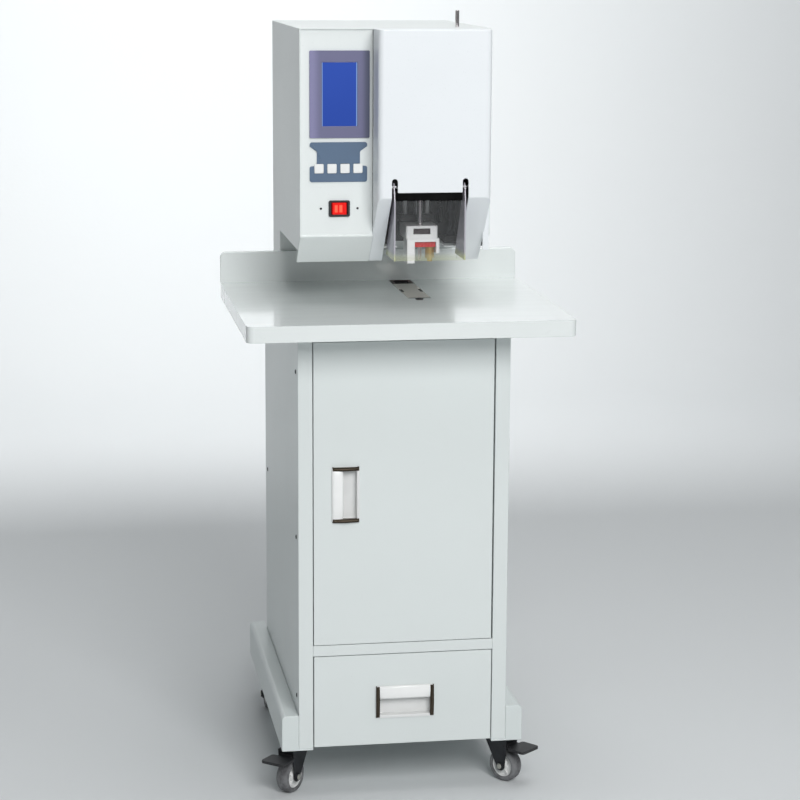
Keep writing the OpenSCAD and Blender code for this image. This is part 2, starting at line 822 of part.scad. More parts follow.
module rocker_switch() {
    half = rocker_w / 2 - 1.4;
    pin = (switch_h - 6) / 2;
    color("red") {
        translate([switch_x, rocker_y, switch_z - rocker_h / 2]) linear_extrude(rocker_h)
            polygon([[-half, 6], [half, 6], [half, -7.5], [0, -5.5], [-half, -7.5]]);
        rod(switch_x, rocker_y, [switch_z - pin, switch_z + pin], rocker_pin_d);
    }
}

// ---------- C-frame and mechanism ----------
module c_frame() {
    x = [axis_x - frame_half, axis_x + frame_half];
    y = axis_y + frame_back;
    column = [rear_y - column_back - column_d, rear_y - column_back];
    color("silver") difference() {
        union() {
            block(x, [y, y + frame_t], [side_z + sheet, top_plate_z + frame_t]);
            block(x, [axis_y - 40, y + 1], [top_plate_z, top_plate_z + frame_t]);
            for (side = [-1, 1]) {
                px = axis_x + side * post_x;
                block([px - post_lug, px + post_lug], [axis_y + post_back - post_lug, y + 1], [side_z + sheet, side_z + sheet + lug_h]);
                ax = side < 0 ? x[0] : x[1] - web_t;
                side_profile([ax, ax + web_t], [[y + 1, top_plate_z + frame_t], [y + 1, arm_z],
                    [column[0], arm_z], [column[0], table_z + 1], [column[1], table_z + 1],
                    [column[1], top_plate_z + frame_t]]);
            }
            for (yy = [column[0], column[1] - web_t]) block(x, [yy, yy + web_t], [table_z + 1, top_plate_z + frame_t]);
            block([x[0] - base_flange, x[1] + base_flange], [column[0] - web_t, column[1] + web_t],
                [table_z, table_z + web_t]);
            block([axis_x - guide_half, axis_x + guide_half], [axis_y + screw_back - web_t, y + 1],
                [guide_z, guide_z + guide_h]);
        }
        for (side = [-1, 1]) {
            rod(axis_x + side * rod_x, axis_y + rod_back, [guide_z - 1, guide_z + guide_h + 1], rod_d + bore);
            for (z = [side_z + 30, side_z + 66]) {
                face_plate(axis_x + side * 44, z + 18, 10, 30, [y - 1, y + frame_t + 1], 4.9);
            }
        }
        rod(feed_x, feed_y, [top_plate_z - 1, top_plate_z + frame_t + 1], feed_d);
    }
}

module guide_posts() {
    color("gainsboro") for (side = [-1, 1]) {
        rod(axis_x + side * post_x, axis_y + post_back, [side_z + sheet + lug_h, top_plate_z], post_d);
    }
}

module lift_motor() {
    z = top_plate_z - lift_h;
    y = axis_y + screw_back;
    color("dimgray") {
        translate([axis_x, y, z]) linear_extrude(lift_h) rounded(lift_w, lift_w, 5);
        rod(axis_x, y, [z - screw_end - 2, z + 1], motor_shaft_d);
    }
}

module lead_screw() {
    y = axis_y + screw_back;
    top = top_plate_z - lift_h - 4;
    color("lightgray") difference() {
        union() {
            rod(axis_x, y, [guide_z + guide_h + touch, top - coupling_h], screw_d);
            rod(axis_x, y, [top - coupling_h, top], coupling_d);
        }
        rod(axis_x, y, [top - screw_end, top + 1], motor_shaft_d + bore);
    }
}

module carriage() {
    y = [axis_y - carriage_front, axis_y + carriage_back];
    deck_y = y[1] - carriage_web;
    top_z = carriage_top - deck_t;
    color("darkgray") difference() {
        union() {
            block([axis_x - carriage_half, axis_x + carriage_half], [y[0], deck_y + 1], [low_z, low_z + deck_t]);
            block([axis_x - carriage_half, axis_x + carriage_half], [y[0], deck_y + 1], [top_z, carriage_top]);
            block([axis_x - carriage_half, axis_x + carriage_half], [deck_y, y[1]], [low_z, carriage_top]);
            block([axis_x - motor_x - motor_d / 2 - 5, axis_x - carriage_half + 1], [y[0], deck_y], [top_z, carriage_top]);
            rod(axis_x, axis_y, [low_z - bearing_h, carriage_top], spindle_d + 20);
        }
        rod(axis_x, axis_y, [low_z - bearing_h - 1, carriage_top + 1], spindle_d + bore);
        rod(axis_x, axis_y + screw_back, [low_z - 1, carriage_top + 1], screw_d + bore);
        for (side = [-1, 1]) {
            rod(axis_x + side * post_x, axis_y + post_back, [low_z - 1, carriage_top + 1], post_d + bore);
            rod(axis_x + side * rod_x, axis_y + rod_back, [low_z - 1, carriage_top + 1], rod_d + 2);
        }
        rod(axis_x - motor_x, axis_y + belt_y, [top_z - 1, carriage_top + 1], motor_boss_d + 1);
    }
}

module drill_motor() {
    x = axis_x - motor_x;
    y = axis_y + belt_y;
    top = carriage_top - deck_t;
    color("dimgray") {
        rod(x, y, [top - 4 - motor_h, top - 4], motor_d);
        rod(x, y, [top - 4, top], motor_d - 8);
        rod(x, y, [top, top + 6], motor_boss_d);
        rod(x, y, [top + 6, pulley_z + pulley_h], motor_shaft_d);
    }
}

module pulley(x, y, d, hole) {
    difference() {
        union() {
            rod(x, y, [pulley_z, pulley_z + pulley_h], d);
            rod(x, y, [pulley_z, pulley_z + 2], d + 4);
            rod(x, y, [pulley_z + pulley_h - 2, pulley_z + pulley_h], d + 4);
        }
        rod(x, y, [pulley_z - 1, pulley_z + pulley_h + 1], hole);
    }
}

module motor_pulley() {
    color("silver") pulley(axis_x - motor_x, axis_y + belt_y, small_pulley_d, motor_shaft_d + bore);
}

module spindle() {
    low = spindle_low;
    color("silver") {
        difference() {
            union() {
                rod(axis_x, axis_y, [low, pulley_z], spindle_d);
                rod(axis_x, axis_y, [carriage_top + touch, carriage_top + 7], spindle_d + 10);
                rod(axis_x, axis_y, [low - chuck_h, low], chuck_d);
            }
            rod(axis_x, axis_y, [low - chuck_h - 1, low], shank_d);
            rod(axis_x, axis_y, [low - 1, pulley_z + 1], hollow_d);
        }
        pulley(axis_x, axis_y, pulley_d, hollow_d);
    }
}

module belt_loop(extra) {
    hull() {
        translate([axis_x, axis_y]) circle(pulley_d / 2 + extra, $fn = 32);
        translate([axis_x - motor_x, axis_y + belt_y]) circle(small_pulley_d / 2 + extra, $fn = 32);
    }
}

module drive_belt() {
    color("black") translate([0, 0, pulley_z + 3]) linear_extrude(pulley_h - 6) difference() {
        belt_loop(touch + 1.5);
        belt_loop(touch);
    }
}

module hollow_drill() {
    low = spindle_low;
    color("gainsboro") difference() {
        union() {
            rod(axis_x, axis_y, [foot_top - 12, low], shank_d);
            rod(axis_x, axis_y, [foot_z + 4, foot_top - 12], drill_d);
        }
        rod(axis_x, axis_y, [foot_z, low + 1], hollow_d);
    }
}

module press_foot() {
    color("whitesmoke") {
        difference() {
            translate([axis_x, axis_y + foot_back, plate_z]) linear_extrude(plate_h) rounded(foot_w, foot_l, 4);
            rod(axis_x, axis_y, [plate_z - 1, foot_top + 1], shank_d + 4);
            block([axis_x - 15, axis_x + 15], [axis_y - 23, axis_y - 16], [plate_z + 8, plate_z + 18]);
        }
        for (side = [-1, 1]) {
            rod(axis_x + side * rod_x, axis_y + rod_back, [foot_top, low_z + 25], rod_d);
        }
    }
}

module foot_bracket() {
    y = [axis_y - 20, axis_y + 20];
    color("white") difference() {
        union() {
            block([axis_x - 26, axis_x + 32], y, [plate_z - bracket_t, plate_z]);
            block([axis_x - 26, axis_x - 12], y, [foot_z, plate_z - bracket_t]);
            block([axis_x + 26, axis_x + 32], y, [foot_z + 17, plate_z - bracket_t]);
        }
        rod(axis_x, axis_y, [plate_z - bracket_t - 1, plate_z + 1], shank_d + 4);
    }
}

module heater_block() {
    z = plate_z - bracket_t - heater_h;
    color("crimson") difference() {
        block([axis_x - 12, axis_x + 26], [axis_y - 14, axis_y + 14], [z, z + heater_h]);
        rod(axis_x, axis_y, [z - 1, z + heater_h + 1], shank_d + 4);
    }
}

module rivet_punch() {
    top = plate_z - bracket_t - heater_h;
    x = axis_x + 17;
    color("goldenrod") {
        rod(x, axis_y - 4, [foot_z + 8, top], 16);
        rod(x, axis_y - 4, [foot_z + 2, foot_z + 8], 10);
    }
}

module feed_tube() {
    color("silver") difference() {
        rod(feed_x, feed_y, [pulley_z + pulley_h + 20, head_top + feed_rise], feed_d);
        rod(feed_x, feed_y, [pulley_z + pulley_h + 19, head_top + feed_rise + 1], feed_d - 2);
    }
}

// ---------- electrical ----------
module power_inlet() {
    color("black") difference() {
        union() {
            face_plate(inlet_x, inlet_z, inlet_w + 20, inlet_h + 8, [rear_y, rear_y + 3], 4);
            block([inlet_x - inlet_w / 2 + 0.2, inlet_x + inlet_w / 2 - 0.2], [rear_y - 18, rear_y],
                [inlet_z - inlet_h / 2 + 0.2, inlet_z + inlet_h / 2 - 0.2]);
        }
        block([inlet_x - 12, inlet_x + 12], [rear_y - 14, rear_y + 4], [inlet_z - 8, inlet_z + 8]);
    }
}

module power_supply() {
    color("silver") block([supply_x, supply_x + supply_w], [rear_y - 100 - supply_l, rear_y - 100],
        [shelf_z + sheet, shelf_z + sheet + supply_h]);
}

// ---------- castors ----------
// A castor about its own stem, with the wheel in front of the stem
module fork(braked) {
    crown_y = [-trail - 14, race_d / 2 - 6];
    difference() {
        union() {
            rod(0, 0, [crown_z + crown_t, base_z - touch], race_d);
            rod(0, 0, [base_z - touch, base_z + stem_h], stem_d);
            block([-fork_in - leg_t, fork_in + leg_t], crown_y, [crown_z, crown_z + crown_t]);
            for (x = [-fork_in - leg_t, fork_in]) {
                side_profile([x, x + leg_t], [[crown_y[0], crown_z], [-trail - 9, axle_z], [-trail + 9, axle_z],
                    [crown_y[1], crown_z]]);
                cross_rod([x, x + leg_t], -trail, axle_z, 18);
            }
            cross_rod([-fork_in - leg_t - 3, fork_in + leg_t + 3], -trail, axle_z, axle_d);
            for (x = [-fork_in - leg_t - 3, fork_in + leg_t]) cross_rod([x, x + 3], -trail, axle_z, axle_d + 5);
        }
        if (braked) {
            cross_rod([-fork_in - leg_t - 1, fork_in + leg_t + 1], pedal_pin_y, pedal_pin_z, pedal_pin_d + bore);
        }
    }
}

module wheel() {
    translate([0, -trail, axle_z]) rotate([0, 90, 0]) rotate_extrude() difference() {
        union() {
            translate([axle_d / 2 + running, -wheel_w / 2]) square([wheel_d / 2 - 4 - axle_d / 2 - running, wheel_w]);
            translate([wheel_d / 2 - 5, 4 - wheel_w / 2]) square([5, wheel_w - 8]);
            for (z = [4 - wheel_w / 2, wheel_w / 2 - 4]) translate([wheel_d / 2 - 4, z]) circle(4);
        }
        for (z = [-wheel_w / 2, wheel_w / 2]) {
            translate([wheel_d / 2 - 15, z]) square([10, 8], center = true);
        }
    }
}

module brake_pedal() {
    barrel = 8;
    difference() {
        union() {
            cross_rod([-fork_in + touch, fork_in - touch], pedal_pin_y, pedal_pin_z, barrel);
            block([-fork_in + touch, fork_in - touch], [pedal_pin_y - 12, pedal_pin_y],
                [pedal_pin_z - barrel / 2, pedal_pin_z - barrel / 2 + pedal_t]);
            translate([0, pedal_pin_y - 10 - pedal_l / 2, pedal_pin_z - barrel / 2])
                linear_extrude(pedal_t) rounded(pedal_w, pedal_l, 6);
        }
        cross_rod([-fork_in, fork_in], pedal_pin_y, pedal_pin_z, pedal_pin_d);
    }
    cross_rod([-fork_in - leg_t, fork_in + leg_t], pedal_pin_y, pedal_pin_z, pedal_pin_d);
}

module castor_place(side, row, turn) {
    translate([side * stem_x, stem_y[row], 0]) rotate([0, 0, turn]) children();
}

module castor_fl() { color("black") castor_place(-1, 0, -castor_turn) fork(true); }
module castor_fr() { color("black") castor_place(1, 0, castor_turn) fork(true); }
module castor_rl() { color("black") castor_place(-1, 1, 0) fork(false); }
module castor_rr() { color("black") castor_place(1, 1, 0) fork(false); }
module wheel_fl() { color("gray") castor_place(-1, 0, -castor_turn) wheel(); }
module wheel_fr() { color("gray") castor_place(1, 0, castor_turn) wheel(); }
module wheel_rl() { color("gray") castor_place(-1, 1, 0) wheel(); }
module wheel_rr() { color("gray") castor_place(1, 1, 0) wheel(); }
module brake_pedal_left() { color("black") castor_place(-1, 0, -castor_turn) brake_pedal(); }
module brake_pedal_right() { color("black") castor_place(1, 0, castor_turn) brake_pedal(); }

base_frame();
side_panel_left();
side_panel_right();
back_panel();
front_rails();
shelf();
cover_screws();
drawer_rails();
drawer_box();
drawer_front();
drawer_pull();
door_panel();
door_pull();
hinge_pins();
worktop();
insert_plate();
lower_die();
c_frame();
head_cover();
rear_cover();
fascia();
drill_cover();
lcd_bezel();
lcd_glass();
key_panel();
key(0);  // key_1
key(1);  // key_2
key(2);  // key_3
key(3);  // key_4
switch_housing();
rocker_switch();
clear_guard();
guard_rod();
feed_tube();
lift_motor();
lead_screw();
guide_posts();
carriage();
drill_motor();
motor_pulley();
spindle();
drive_belt();
hollow_drill();
press_foot();
foot_bracket();
heater_block();
rivet_punch();
power_inlet();
power_supply();
castor_fl();
castor_fr();
castor_rl();
castor_rr();
wheel_fl();
wheel_fr();
wheel_rl();
wheel_rr();
brake_pedal_left();
brake_pedal_right();
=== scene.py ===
import math
import bmesh
import bpy
from mathutils import Matrix, Vector


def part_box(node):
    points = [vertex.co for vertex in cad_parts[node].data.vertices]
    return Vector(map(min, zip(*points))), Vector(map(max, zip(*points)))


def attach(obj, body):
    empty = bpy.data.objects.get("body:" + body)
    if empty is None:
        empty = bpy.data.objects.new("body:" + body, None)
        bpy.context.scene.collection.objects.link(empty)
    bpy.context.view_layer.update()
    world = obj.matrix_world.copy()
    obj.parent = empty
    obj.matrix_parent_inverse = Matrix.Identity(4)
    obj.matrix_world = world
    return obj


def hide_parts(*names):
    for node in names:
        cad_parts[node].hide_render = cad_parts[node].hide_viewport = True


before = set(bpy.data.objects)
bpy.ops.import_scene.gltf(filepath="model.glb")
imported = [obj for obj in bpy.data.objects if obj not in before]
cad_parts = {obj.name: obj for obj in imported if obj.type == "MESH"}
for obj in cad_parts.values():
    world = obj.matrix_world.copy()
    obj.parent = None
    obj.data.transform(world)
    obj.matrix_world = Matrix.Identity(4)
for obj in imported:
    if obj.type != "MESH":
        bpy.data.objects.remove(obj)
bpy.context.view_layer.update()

# ---------------------------------------------------------------- the view
# The machine stands on a studio floor and is seen from its left, a little above the head, with a long
# lens, so that the cabinet's sides stay nearly parallel.
eye = Vector((-0.6266, -4.0210, 1.4800))
yaw, pitch, roll = math.radians(-9.3), math.radians(11.3), math.radians(0.3)
forward = Vector((-math.sin(yaw) * math.cos(pitch), math.cos(yaw) * math.cos(pitch), -math.sin(pitch)))
right = Vector((math.cos(yaw), math.sin(yaw), 0))
above = right.cross(forward)
right, above = (right * math.cos(roll) + above * math.sin(roll),
    above * math.cos(roll) - right * math.sin(roll))
lens = bpy.data.cameras.new("photo_view")
lens.lens = 102.2
lens.clip_end = 60
camera = bpy.data.objects.new("photo_view", lens)
camera.matrix_world = Matrix.Translation(eye) @ Matrix((right, above, -forward)).transposed().to_4x4()
bpy.context.scene.collection.objects.link(camera)
bpy.context.scene.camera = camera
bpy.context.scene.view_settings.view_transform = "Standard"


# ---------------------------------------------------------------- the room
# A pale floor that rises into a backdrop. The main lamp stands high in front, a little to the right; one
# hangs overhead, a weak one fills in from the left and one lights the backdrop.
class Wire:
    """A socket of a finish. Sums, differences and products written with it become Math nodes."""

    def __init__(self, finish, socket):
        self.finish, self.socket = finish, socket

    def sum_of(self, operation, *values):
        return self.finish.node("ShaderNodeMath", {"operation": operation}, dict(enumerate(values)))

    def __add__(self, other): return self.sum_of("ADD", self, other)
    def __sub__(self, other): return self.sum_of("SUBTRACT", self, other)
    def __rsub__(self, other): return self.sum_of("SUBTRACT", other, self)
    def __mul__(self, other): return self.sum_of("MULTIPLY", self, other)
    __radd__, __rmul__ = __add__, __mul__

    def between(self, low, high):
        """0 under low, 1 over high and a smooth step from one to the other."""
        return self.finish.node("ShaderNodeMapRange", {"interpolation_type": "SMOOTHSTEP"},
            {"Value": self, "From Min": low, "From Max": high})

    def band(self, low, high, fade):
        """1 from low to high, fading to 0 over that distance at both ends."""
        return self.between(low - fade, low + fade) * (1 - self.between(high - fade, high + fade))


class Finish:
    """A material while its nodes are being laid."""

    def __init__(self, name):
        self.material = bpy.data.materials.new(name)
        self.material.use_nodes = True
        self.tree = self.material.node_tree
        self.tree.nodes.clear()

    def node(self, kind, settings=None, sockets=None, out=0):
        made = self.tree.nodes.new(kind)
        for name, value in (settings or {}).items():
            setattr(made, name, value)
        for name, value in (sockets or {}).items():
            if isinstance(value, Wire):
                self.tree.links.new(value.socket, made.inputs[name])
            else:
                made.inputs[name].default_value = value
        return Wire(self, made.outputs[out]) if len(made.outputs) else None

    def where(self, stretch=(1, 1, 1)):
        """The place on the piece in metres, squeezed along an axis for a grain that runs one way."""
        place = self.node("ShaderNodeTexCoord", out=3)
        if tuple(stretch) == (1, 1, 1):
            return place
        return self.node("ShaderNodeVectorMath", {"operation": "MULTIPLY"}, {0: place, 1: stretch})

    def along(self, axis):
        """One coordinate of the place, in metres."""
        return self.node("ShaderNodeSeparateXYZ", None, {0: self.where()}, "xyz".index(axis))

    def grain(self, scale, detail=2.0, stretch=(1, 1, 1)):
        return self.node("ShaderNodeTexNoise", None,
            {"Vector": self.where(stretch), "Scale": scale, "Detail": detail, "Roughness": 0.55})

    def blend(self, share, first, second):
        return self.node("ShaderNodeMix", {"data_type": "RGBA"}, {0: share, 6: first, 7: second}, out=2)

    def edges(self, reach):
        """1 on the piece's edges, fading to 0 at about that reach from them."""
        softened = self.node("ShaderNodeBevel", {"samples": 4}, {"Radius": reach})
        true = self.node("ShaderNodeNewGeometry", out=1)
        same = self.node("ShaderNodeVectorMath", {"operation": "DOT_PRODUCT"}, {0: softened, 1: true}, out=1)
        return (1 - same).between(0.005, 0.12)

    def close(self, sockets, height=None, depth=0.0001):
        """Ends the finish in one shader; height, from 0 to 1, is pressed into it to that depth in metres."""
        if height is not None:
            sockets["Normal"] = self.node("ShaderNodeBump", None, {"Distance": depth, "Height": height})
        shader = self.node("ShaderNodeBsdfPrincipled", None, sockets)
        self.node("ShaderNodeOutputMaterial", None, {"Surface": shader})
        return self.material


def shade(red, green, blue):
    """A colour given as it looks on a screen, 0 to 255."""
    linear = [((c / 255 + 0.055) / 1.055) ** 2.4 if c > 10 else c / 255 / 12.92 for c in (red, green, blue)]
    return (*linear, 1)


paper = Finish("studio_paper")
cloud = paper.grain(0.8, 3)
studio_paper = paper.close({"Base Color": paper.blend(cloud * 0.4, shade(216, 219, 220), shade(208, 212, 214)),
    "Roughness": 0.75 + 0.1 * cloud}, paper.grain(90, 2), 0.0002)

floor_front, bend_start, bend_radius, wall_top, floor_half = -6, 3.2, 1.4, 6, 9
bend = [(bend_start + bend_radius * math.sin(t), bend_radius - bend_radius * math.cos(t))
    for t in (step * math.pi / 24 for step in range(1, 13))]
sweep = [(floor_front, 0), (bend_start, 0)] + bend + [(bend_start + bend_radius, wall_top)]
floor_mesh = bpy.data.meshes.new("studio_floor")
floor_mesh.from_pydata([(x, y, z) for x in (-floor_half, floor_half) for y, z in sweep], [],
    [(i, i + 1, i + 1 + len(sweep), i + len(sweep)) for i in range(len(sweep) - 1)])
floor_mesh.materials.append(studio_paper)
for face in floor_mesh.polygons:
    face.use_smooth = True
studio_floor = bpy.data.objects.new("studio_floor", floor_mesh)
bpy.context.scene.collection.objects.link(studio_floor)

for name, place, aim, size, watts in (
        ("key_lamp", (0.5, -4.3, 3.1), (0, 0, 0.8), 2.2, 160),
        ("left_lamp", (-3.6, -1.6, 1.6), (0, 0, 0.7), 2.0, 2),
        ("top_lamp", (0.4, -0.5, 4.4), (0, 0, 0.9), 2.4, 60),
        ("backdrop_lamp", (0, 2.4, 2.6), (0, 6, 1.6), 3.0, 88)):
    lamp = bpy.data.lights.new(name, "AREA")
    lamp.size, lamp.energy = size, watts
    holder = bpy.data.objects.new(name, lamp)
    holder.location = place
    holder.rotation_mode = "QUATERNION"
    holder.rotation_quaternion = (Vector(aim) - Vector(place)).to_track_quat("-Z", "Y")
    bpy.context.scene.collection.objects.link(holder)
world = bpy.context.scene.world or bpy.data.worlds.new("studio_air")
bpy.context.scene.world = world
world.use_nodes = True
world.node_tree.nodes["Background"].inputs["Color"].default_value = shade(240, 243, 246)
world.node_tree.nodes["Background"].inputs["Strength"].default_value = 0.20


# ---------------------------------------------------------------- base frame
# Two boxed runners of folded steel with rounded outer edges, joined by cross members under the
# cabinet floor; welded, then powder coated in the cabinet's pale grey.
def darker(colour, share, lift=0.0):
    return tuple(share * c + lift for c in colour[:3]) + (1,)


def powder_coat(name, colour, worn=0.16, gloss=0.40, recess_shade=None):
    """Baked powder paint on folded steel: a fine orange peel, a little dust and edges rubbed by hands.
    Its last argument lays the nodes that say where a recess is painted dark, as painted shade."""
    paint = Finish(name)
    cloud = paint.grain(2.6, 4)
    speck = paint.grain(420, 1)
    dust = paint.blend(cloud.between(0.35, 0.75) * 0.5, colour, darker(colour, 0.93))
    rubbed = paint.edges(0.0022) * paint.grain(38, 3).between(0.48, 0.66) * worn
    ground = paint.blend(speck.between(0.66, 0.78) * 0.10, dust, shade(150, 156, 156))
    # a recess marked by the last argument is painted dark, as painted shade
    if recess_shade:
        ground = paint.blend(recess_shade(paint), ground, shade(58, 44, 48))
    peel = paint.grain(620, 2) * 0.55 + paint.grain(170, 1) * 0.45
    return paint.close({"Base Color": paint.blend(rubbed, ground, shade(172, 176, 176)),
        "Roughness": gloss + 0.10 * (cloud - 0.5) + 0.14 * rubbed, "Coat Weight": 0.12}, peel, 0.00005)


class Shape:
    """A piece's mesh while it is being built; from a CAD node it starts with that node's faces."""

    def __init__(self, node=None):
        self.work = bmesh.new()
        if node:
            self.work.from_mesh(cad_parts[node].data)
            bmesh.ops.remove_doubles(self.work, verts=self.work.verts, dist=2e-6)
            bmesh.ops.dissolve_limit(self.work, angle_limit=math.radians(0.6), verts=self.work.verts,
                edges=self.work.edges)

    def prism(self, outline, axis, low, high):
        """An outline of the other two coordinates pushed along an axis."""
        spot = {"x": lambda a, b, c: (c, a, b), "y": lambda a, b, c: (a, c, b),
            "z": lambda a, b, c: (a, b, c)}[axis]
        near = [self.work.verts.new(spot(a, b, low)) for a, b in outline]
        far = [self.work.verts.new(spot(a, b, high)) for a, b in outline]
        self.work.faces.new(near)
        self.work.faces.new(far[::-1])
        for i in range(len(near)):
            j = (i + 1) % len(near)
            self.work.faces.new((near[i], far[i], far[j], near[j]))
        return self

    def box(self, x, y, z):
        return self.prism([(x[0], y[0]), (x[1], y[0]), (x[1], y[1]), (x[0], y[1])], "z", *z)

    def skin(self, rings, hollow=False):
        """Faces from each ring of corners to the next; hollow joins the last ring to the first."""
        for one, two in zip(rings, rings[1:] + rings[:1] if hollow else rings[1:]):
            for i in range(len(one)):
                j = (i + 1) % len(one)
                self.work.faces.new((one[i], one[j], two[j], two[i]))
        if not hollow:
            self.work.faces.new(rings[0][::-1])
            self.work.faces.new(rings[-1])
        return self

    def turned(self, profile, centre, axis="z", steps=48, hollow=False):
        """A profile of (along, radius) points turned about an axis through centre."""
        spin = {"x": lambda h, a, b: (h, a, b), "y": lambda h, a, b: (a, h, b),
            "z": lambda h, a, b: (a, b, h)}[axis]
        around = [2 * math.pi * i / steps for i in range(steps)]
        return self.skin([[self.work.verts.new(Vector(centre)
            + Vector(spin(along, radius * math.cos(t), radius * math.sin(t)))) for t in around]
            for along, radius in profile], hollow)

    def threaded(self, centre, low, high, radius, pitch, deep):
        """A screw with a trapezoid thread about a vertical axis."""
        steps, rings_a_turn, flank, crest = 28, 8, 4.5, 0.16
        levels = int((high - low) / pitch * rings_a_turn)
        rings = []
        for k in range(levels + 1):
            z = low + (high - low) * k / levels
            ring = []
            for i in range(steps):
                phase = (z / pitch - i / steps) % 1
                r = radius - deep * min(1, max(0, flank * (abs(phase - 0.5) - crest)))
                turn = 2 * math.pi * i / steps
                ring.append(self.work.verts.new((centre[0] + r * math.cos(turn),
                    centre[1] + r * math.sin(turn), z)))
            rings.append(ring)
        return self.skin(rings)

    def cut(self, tool):
        """Takes another shape out of this one."""
        held = [bpy.data.objects.new("held", shape.mesh("held")) for shape in (self, tool)]
        for one in held:
            bpy.context.scene.collection.objects.link(one)
        knife = held[0].modifiers.new("knife", "BOOLEAN")
        knife.object, knife.operation, knife.solver = held[1], "DIFFERENCE", "EXACT"
        result = held[0].evaluated_get(bpy.context.evaluated_depsgraph_get()).to_mesh()
        self.work.clear()
        self.work.from_mesh(result)
        for one in held:
            bpy.data.objects.remove(one)
        return self

    def room(self, edge):
        """Half the width of the narrowest strip of face that runs beside an edge."""
        a, b = (v.co for v in edge.verts)
        length = (b - a).length
        way = (b - a).normalized()
        least = 1.0
        for face in edge.link_faces:
            for other in face.edges:
                c, d = (v.co for v in other.verts)
                near, far = sorted(((c - a).dot(way), (d - a).dot(way)))
                beside = far >= 1e-5 and near <= length - 1e-5
                if other is edge or abs(way.dot((d - c).normalized())) < 0.9 or not beside:
                    continue
                least = min(least, (c - a - way * (c - a).dot(way)).length)
        return least / 2.3

    def shares(self, width, fold):
        """How much of the rounding each folded edge takes, the same all along a line of edges."""
        def onward(edge, corner, other):
            """Whether the line goes on from one edge into the other through their corner."""
            back, on = (e.other_vert(corner).co - corner.co for e in (edge, other))
            return back.normalized().dot(on.normalized()) < -0.7

        self.work.verts.index_update()
        share = {e: min(1, max(0.001, self.room(e) / width)) for e in self.work.edges
            if len(e.link_faces) == 2 and e.calc_face_angle(0) > fold}
        line = {e: [other for v in e.verts for other in v.link_edges
            if other is not e and other in share and onward(e, v, other)] for e in share}
        waiting = list(share)
        while waiting:
            e = waiting.pop()
            for other in line[e]:
                if share[other] > share[e] + 1e-6:
                    share[other] = share[e]
                    waiting.append(other)
        return {frozenset(v.index for v in e.verts): value for e, value in share.items()}

    def mesh(self, name):
        bmesh.ops.recalc_face_normals(self.work, faces=self.work.faces)
        self.work.verts.index_update()
        mesh = bpy.data.meshes.new(name)
        mesh.from_pydata([v.co[:] for v in self.work.verts], [],
            [[v.index for v in f.verts] for f in self.work.faces])
        for face in mesh.polygons:
            face.use_smooth = True
        return mesh

    def piece(self, name, body, slot, finish, stands_for=(), edge=0.0005, steps=2, soft=0, place=None,
            split=False):
        """Makes the object, rounds its folds by edge metres, dresses it and hangs it on its body. soft is
        the angle in degrees from which a fold counts; split cuts up faces that have holes."""
        share = self.shares(edge, math.radians(soft or 12)) if edge else {}
        if split:
            bmesh.ops.connect_verts_concave(self.work, faces=[f for f in self.work.faces if len(f.verts) > 4])
        made = bpy.data.objects.new(name, self.mesh(name))
        made.data.materials.append(finish)
        bpy.context.scene.collection.objects.link(made)
        if edge:
            weight = made.data.attributes.new("bevel_weight_edge", "FLOAT", "EDGE")
            for e in made.data.edges:
                weight.data[e.index].value = share.get(frozenset(e.vertices), 0)
                e.use_edge_sharp = 0 < weight.data[e.index].value < 0.02
            round_off = made.modifiers.new("rounded edges", "BEVEL")
            round_off.width, round_off.segments, round_off.limit_method = edge, steps, "WEIGHT"
            round_off.use_clamp_overlap = False
            flats = made.modifiers.new("flat faces", "WEIGHTED_NORMAL")
            flats.weight, flats.keep_sharp = 100, True
        else:
            made.data.set_sharp_from_angle(angle=math.radians(soft or 35))
        if place is not None:
            made.matrix_world = place
        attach(made, body)
        if stands_for:
            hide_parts(*([stands_for] if isinstance(stands_for, str) else stands_for))
        return made


body_grey = powder_coat("cabinet_powder_coat", shade(219, 225, 224))
Shape("base_frame").piece("base_runners", "machine", "paint_grey",
    powder_coat("base_powder_coat", shade(214, 221, 220), worn=0.3), "base_frame", edge=0.0016, steps=3)


# ---------------------------------------------------------------- castors
# Four 60 mm twin-race castors: pressed steel forks zinc-blacked, wheels of white nylon with a grey
# rubber tread moulded on, and on the front pair a black plastic brake pedal. Stems screw into the base.
def moulded(name, colour, rough=0.42, grain=700, depth=0.00003, **sockets):
    """Injection-moulded plastic or rubber: a fine even grain, a little handling shine."""
    plastic = Finish(name)
    cloud = plastic.grain(18, 3)
    handled = cloud.between(0.42, 0.7)
    sockets = {key.replace("_", " "): value for key, value in sockets.items()}
    return plastic.close({"Base Color": plastic.blend(handled * 0.35, colour, darker(colour, 0.82, 0.01)),
        "Roughness": rough + 0.12 * (cloud - 0.5), **sockets}, plastic.grain(grain, 2), depth)


def worked_metal(name, colour, rough=0.3, stretch=(1, 1, 14), scale=260, tarnish=0.2, depth=0.00002):
    """Bare metal with the marks of the tool that made it, all running one way, and a dull film in places."""
    metal = Finish(name)
    marks = metal.grain(scale, 3, stretch)
    film = metal.grain(22, 4).between(0.45, 0.72)
    return metal.close({"Base Color": metal.blend(film * tarnish, colour, darker(colour, 0.66)),
        "Metallic": 1.0, "Roughness": rough + 0.16 * (marks - 0.5) + 0.14 * film}, marks, depth)


def mirrored(half):
    """A profile of (along, radius) points with its mirror image before it; a middle point stays single."""
    return [(-along, radius) for along, radius in half[::-1] if along] + half


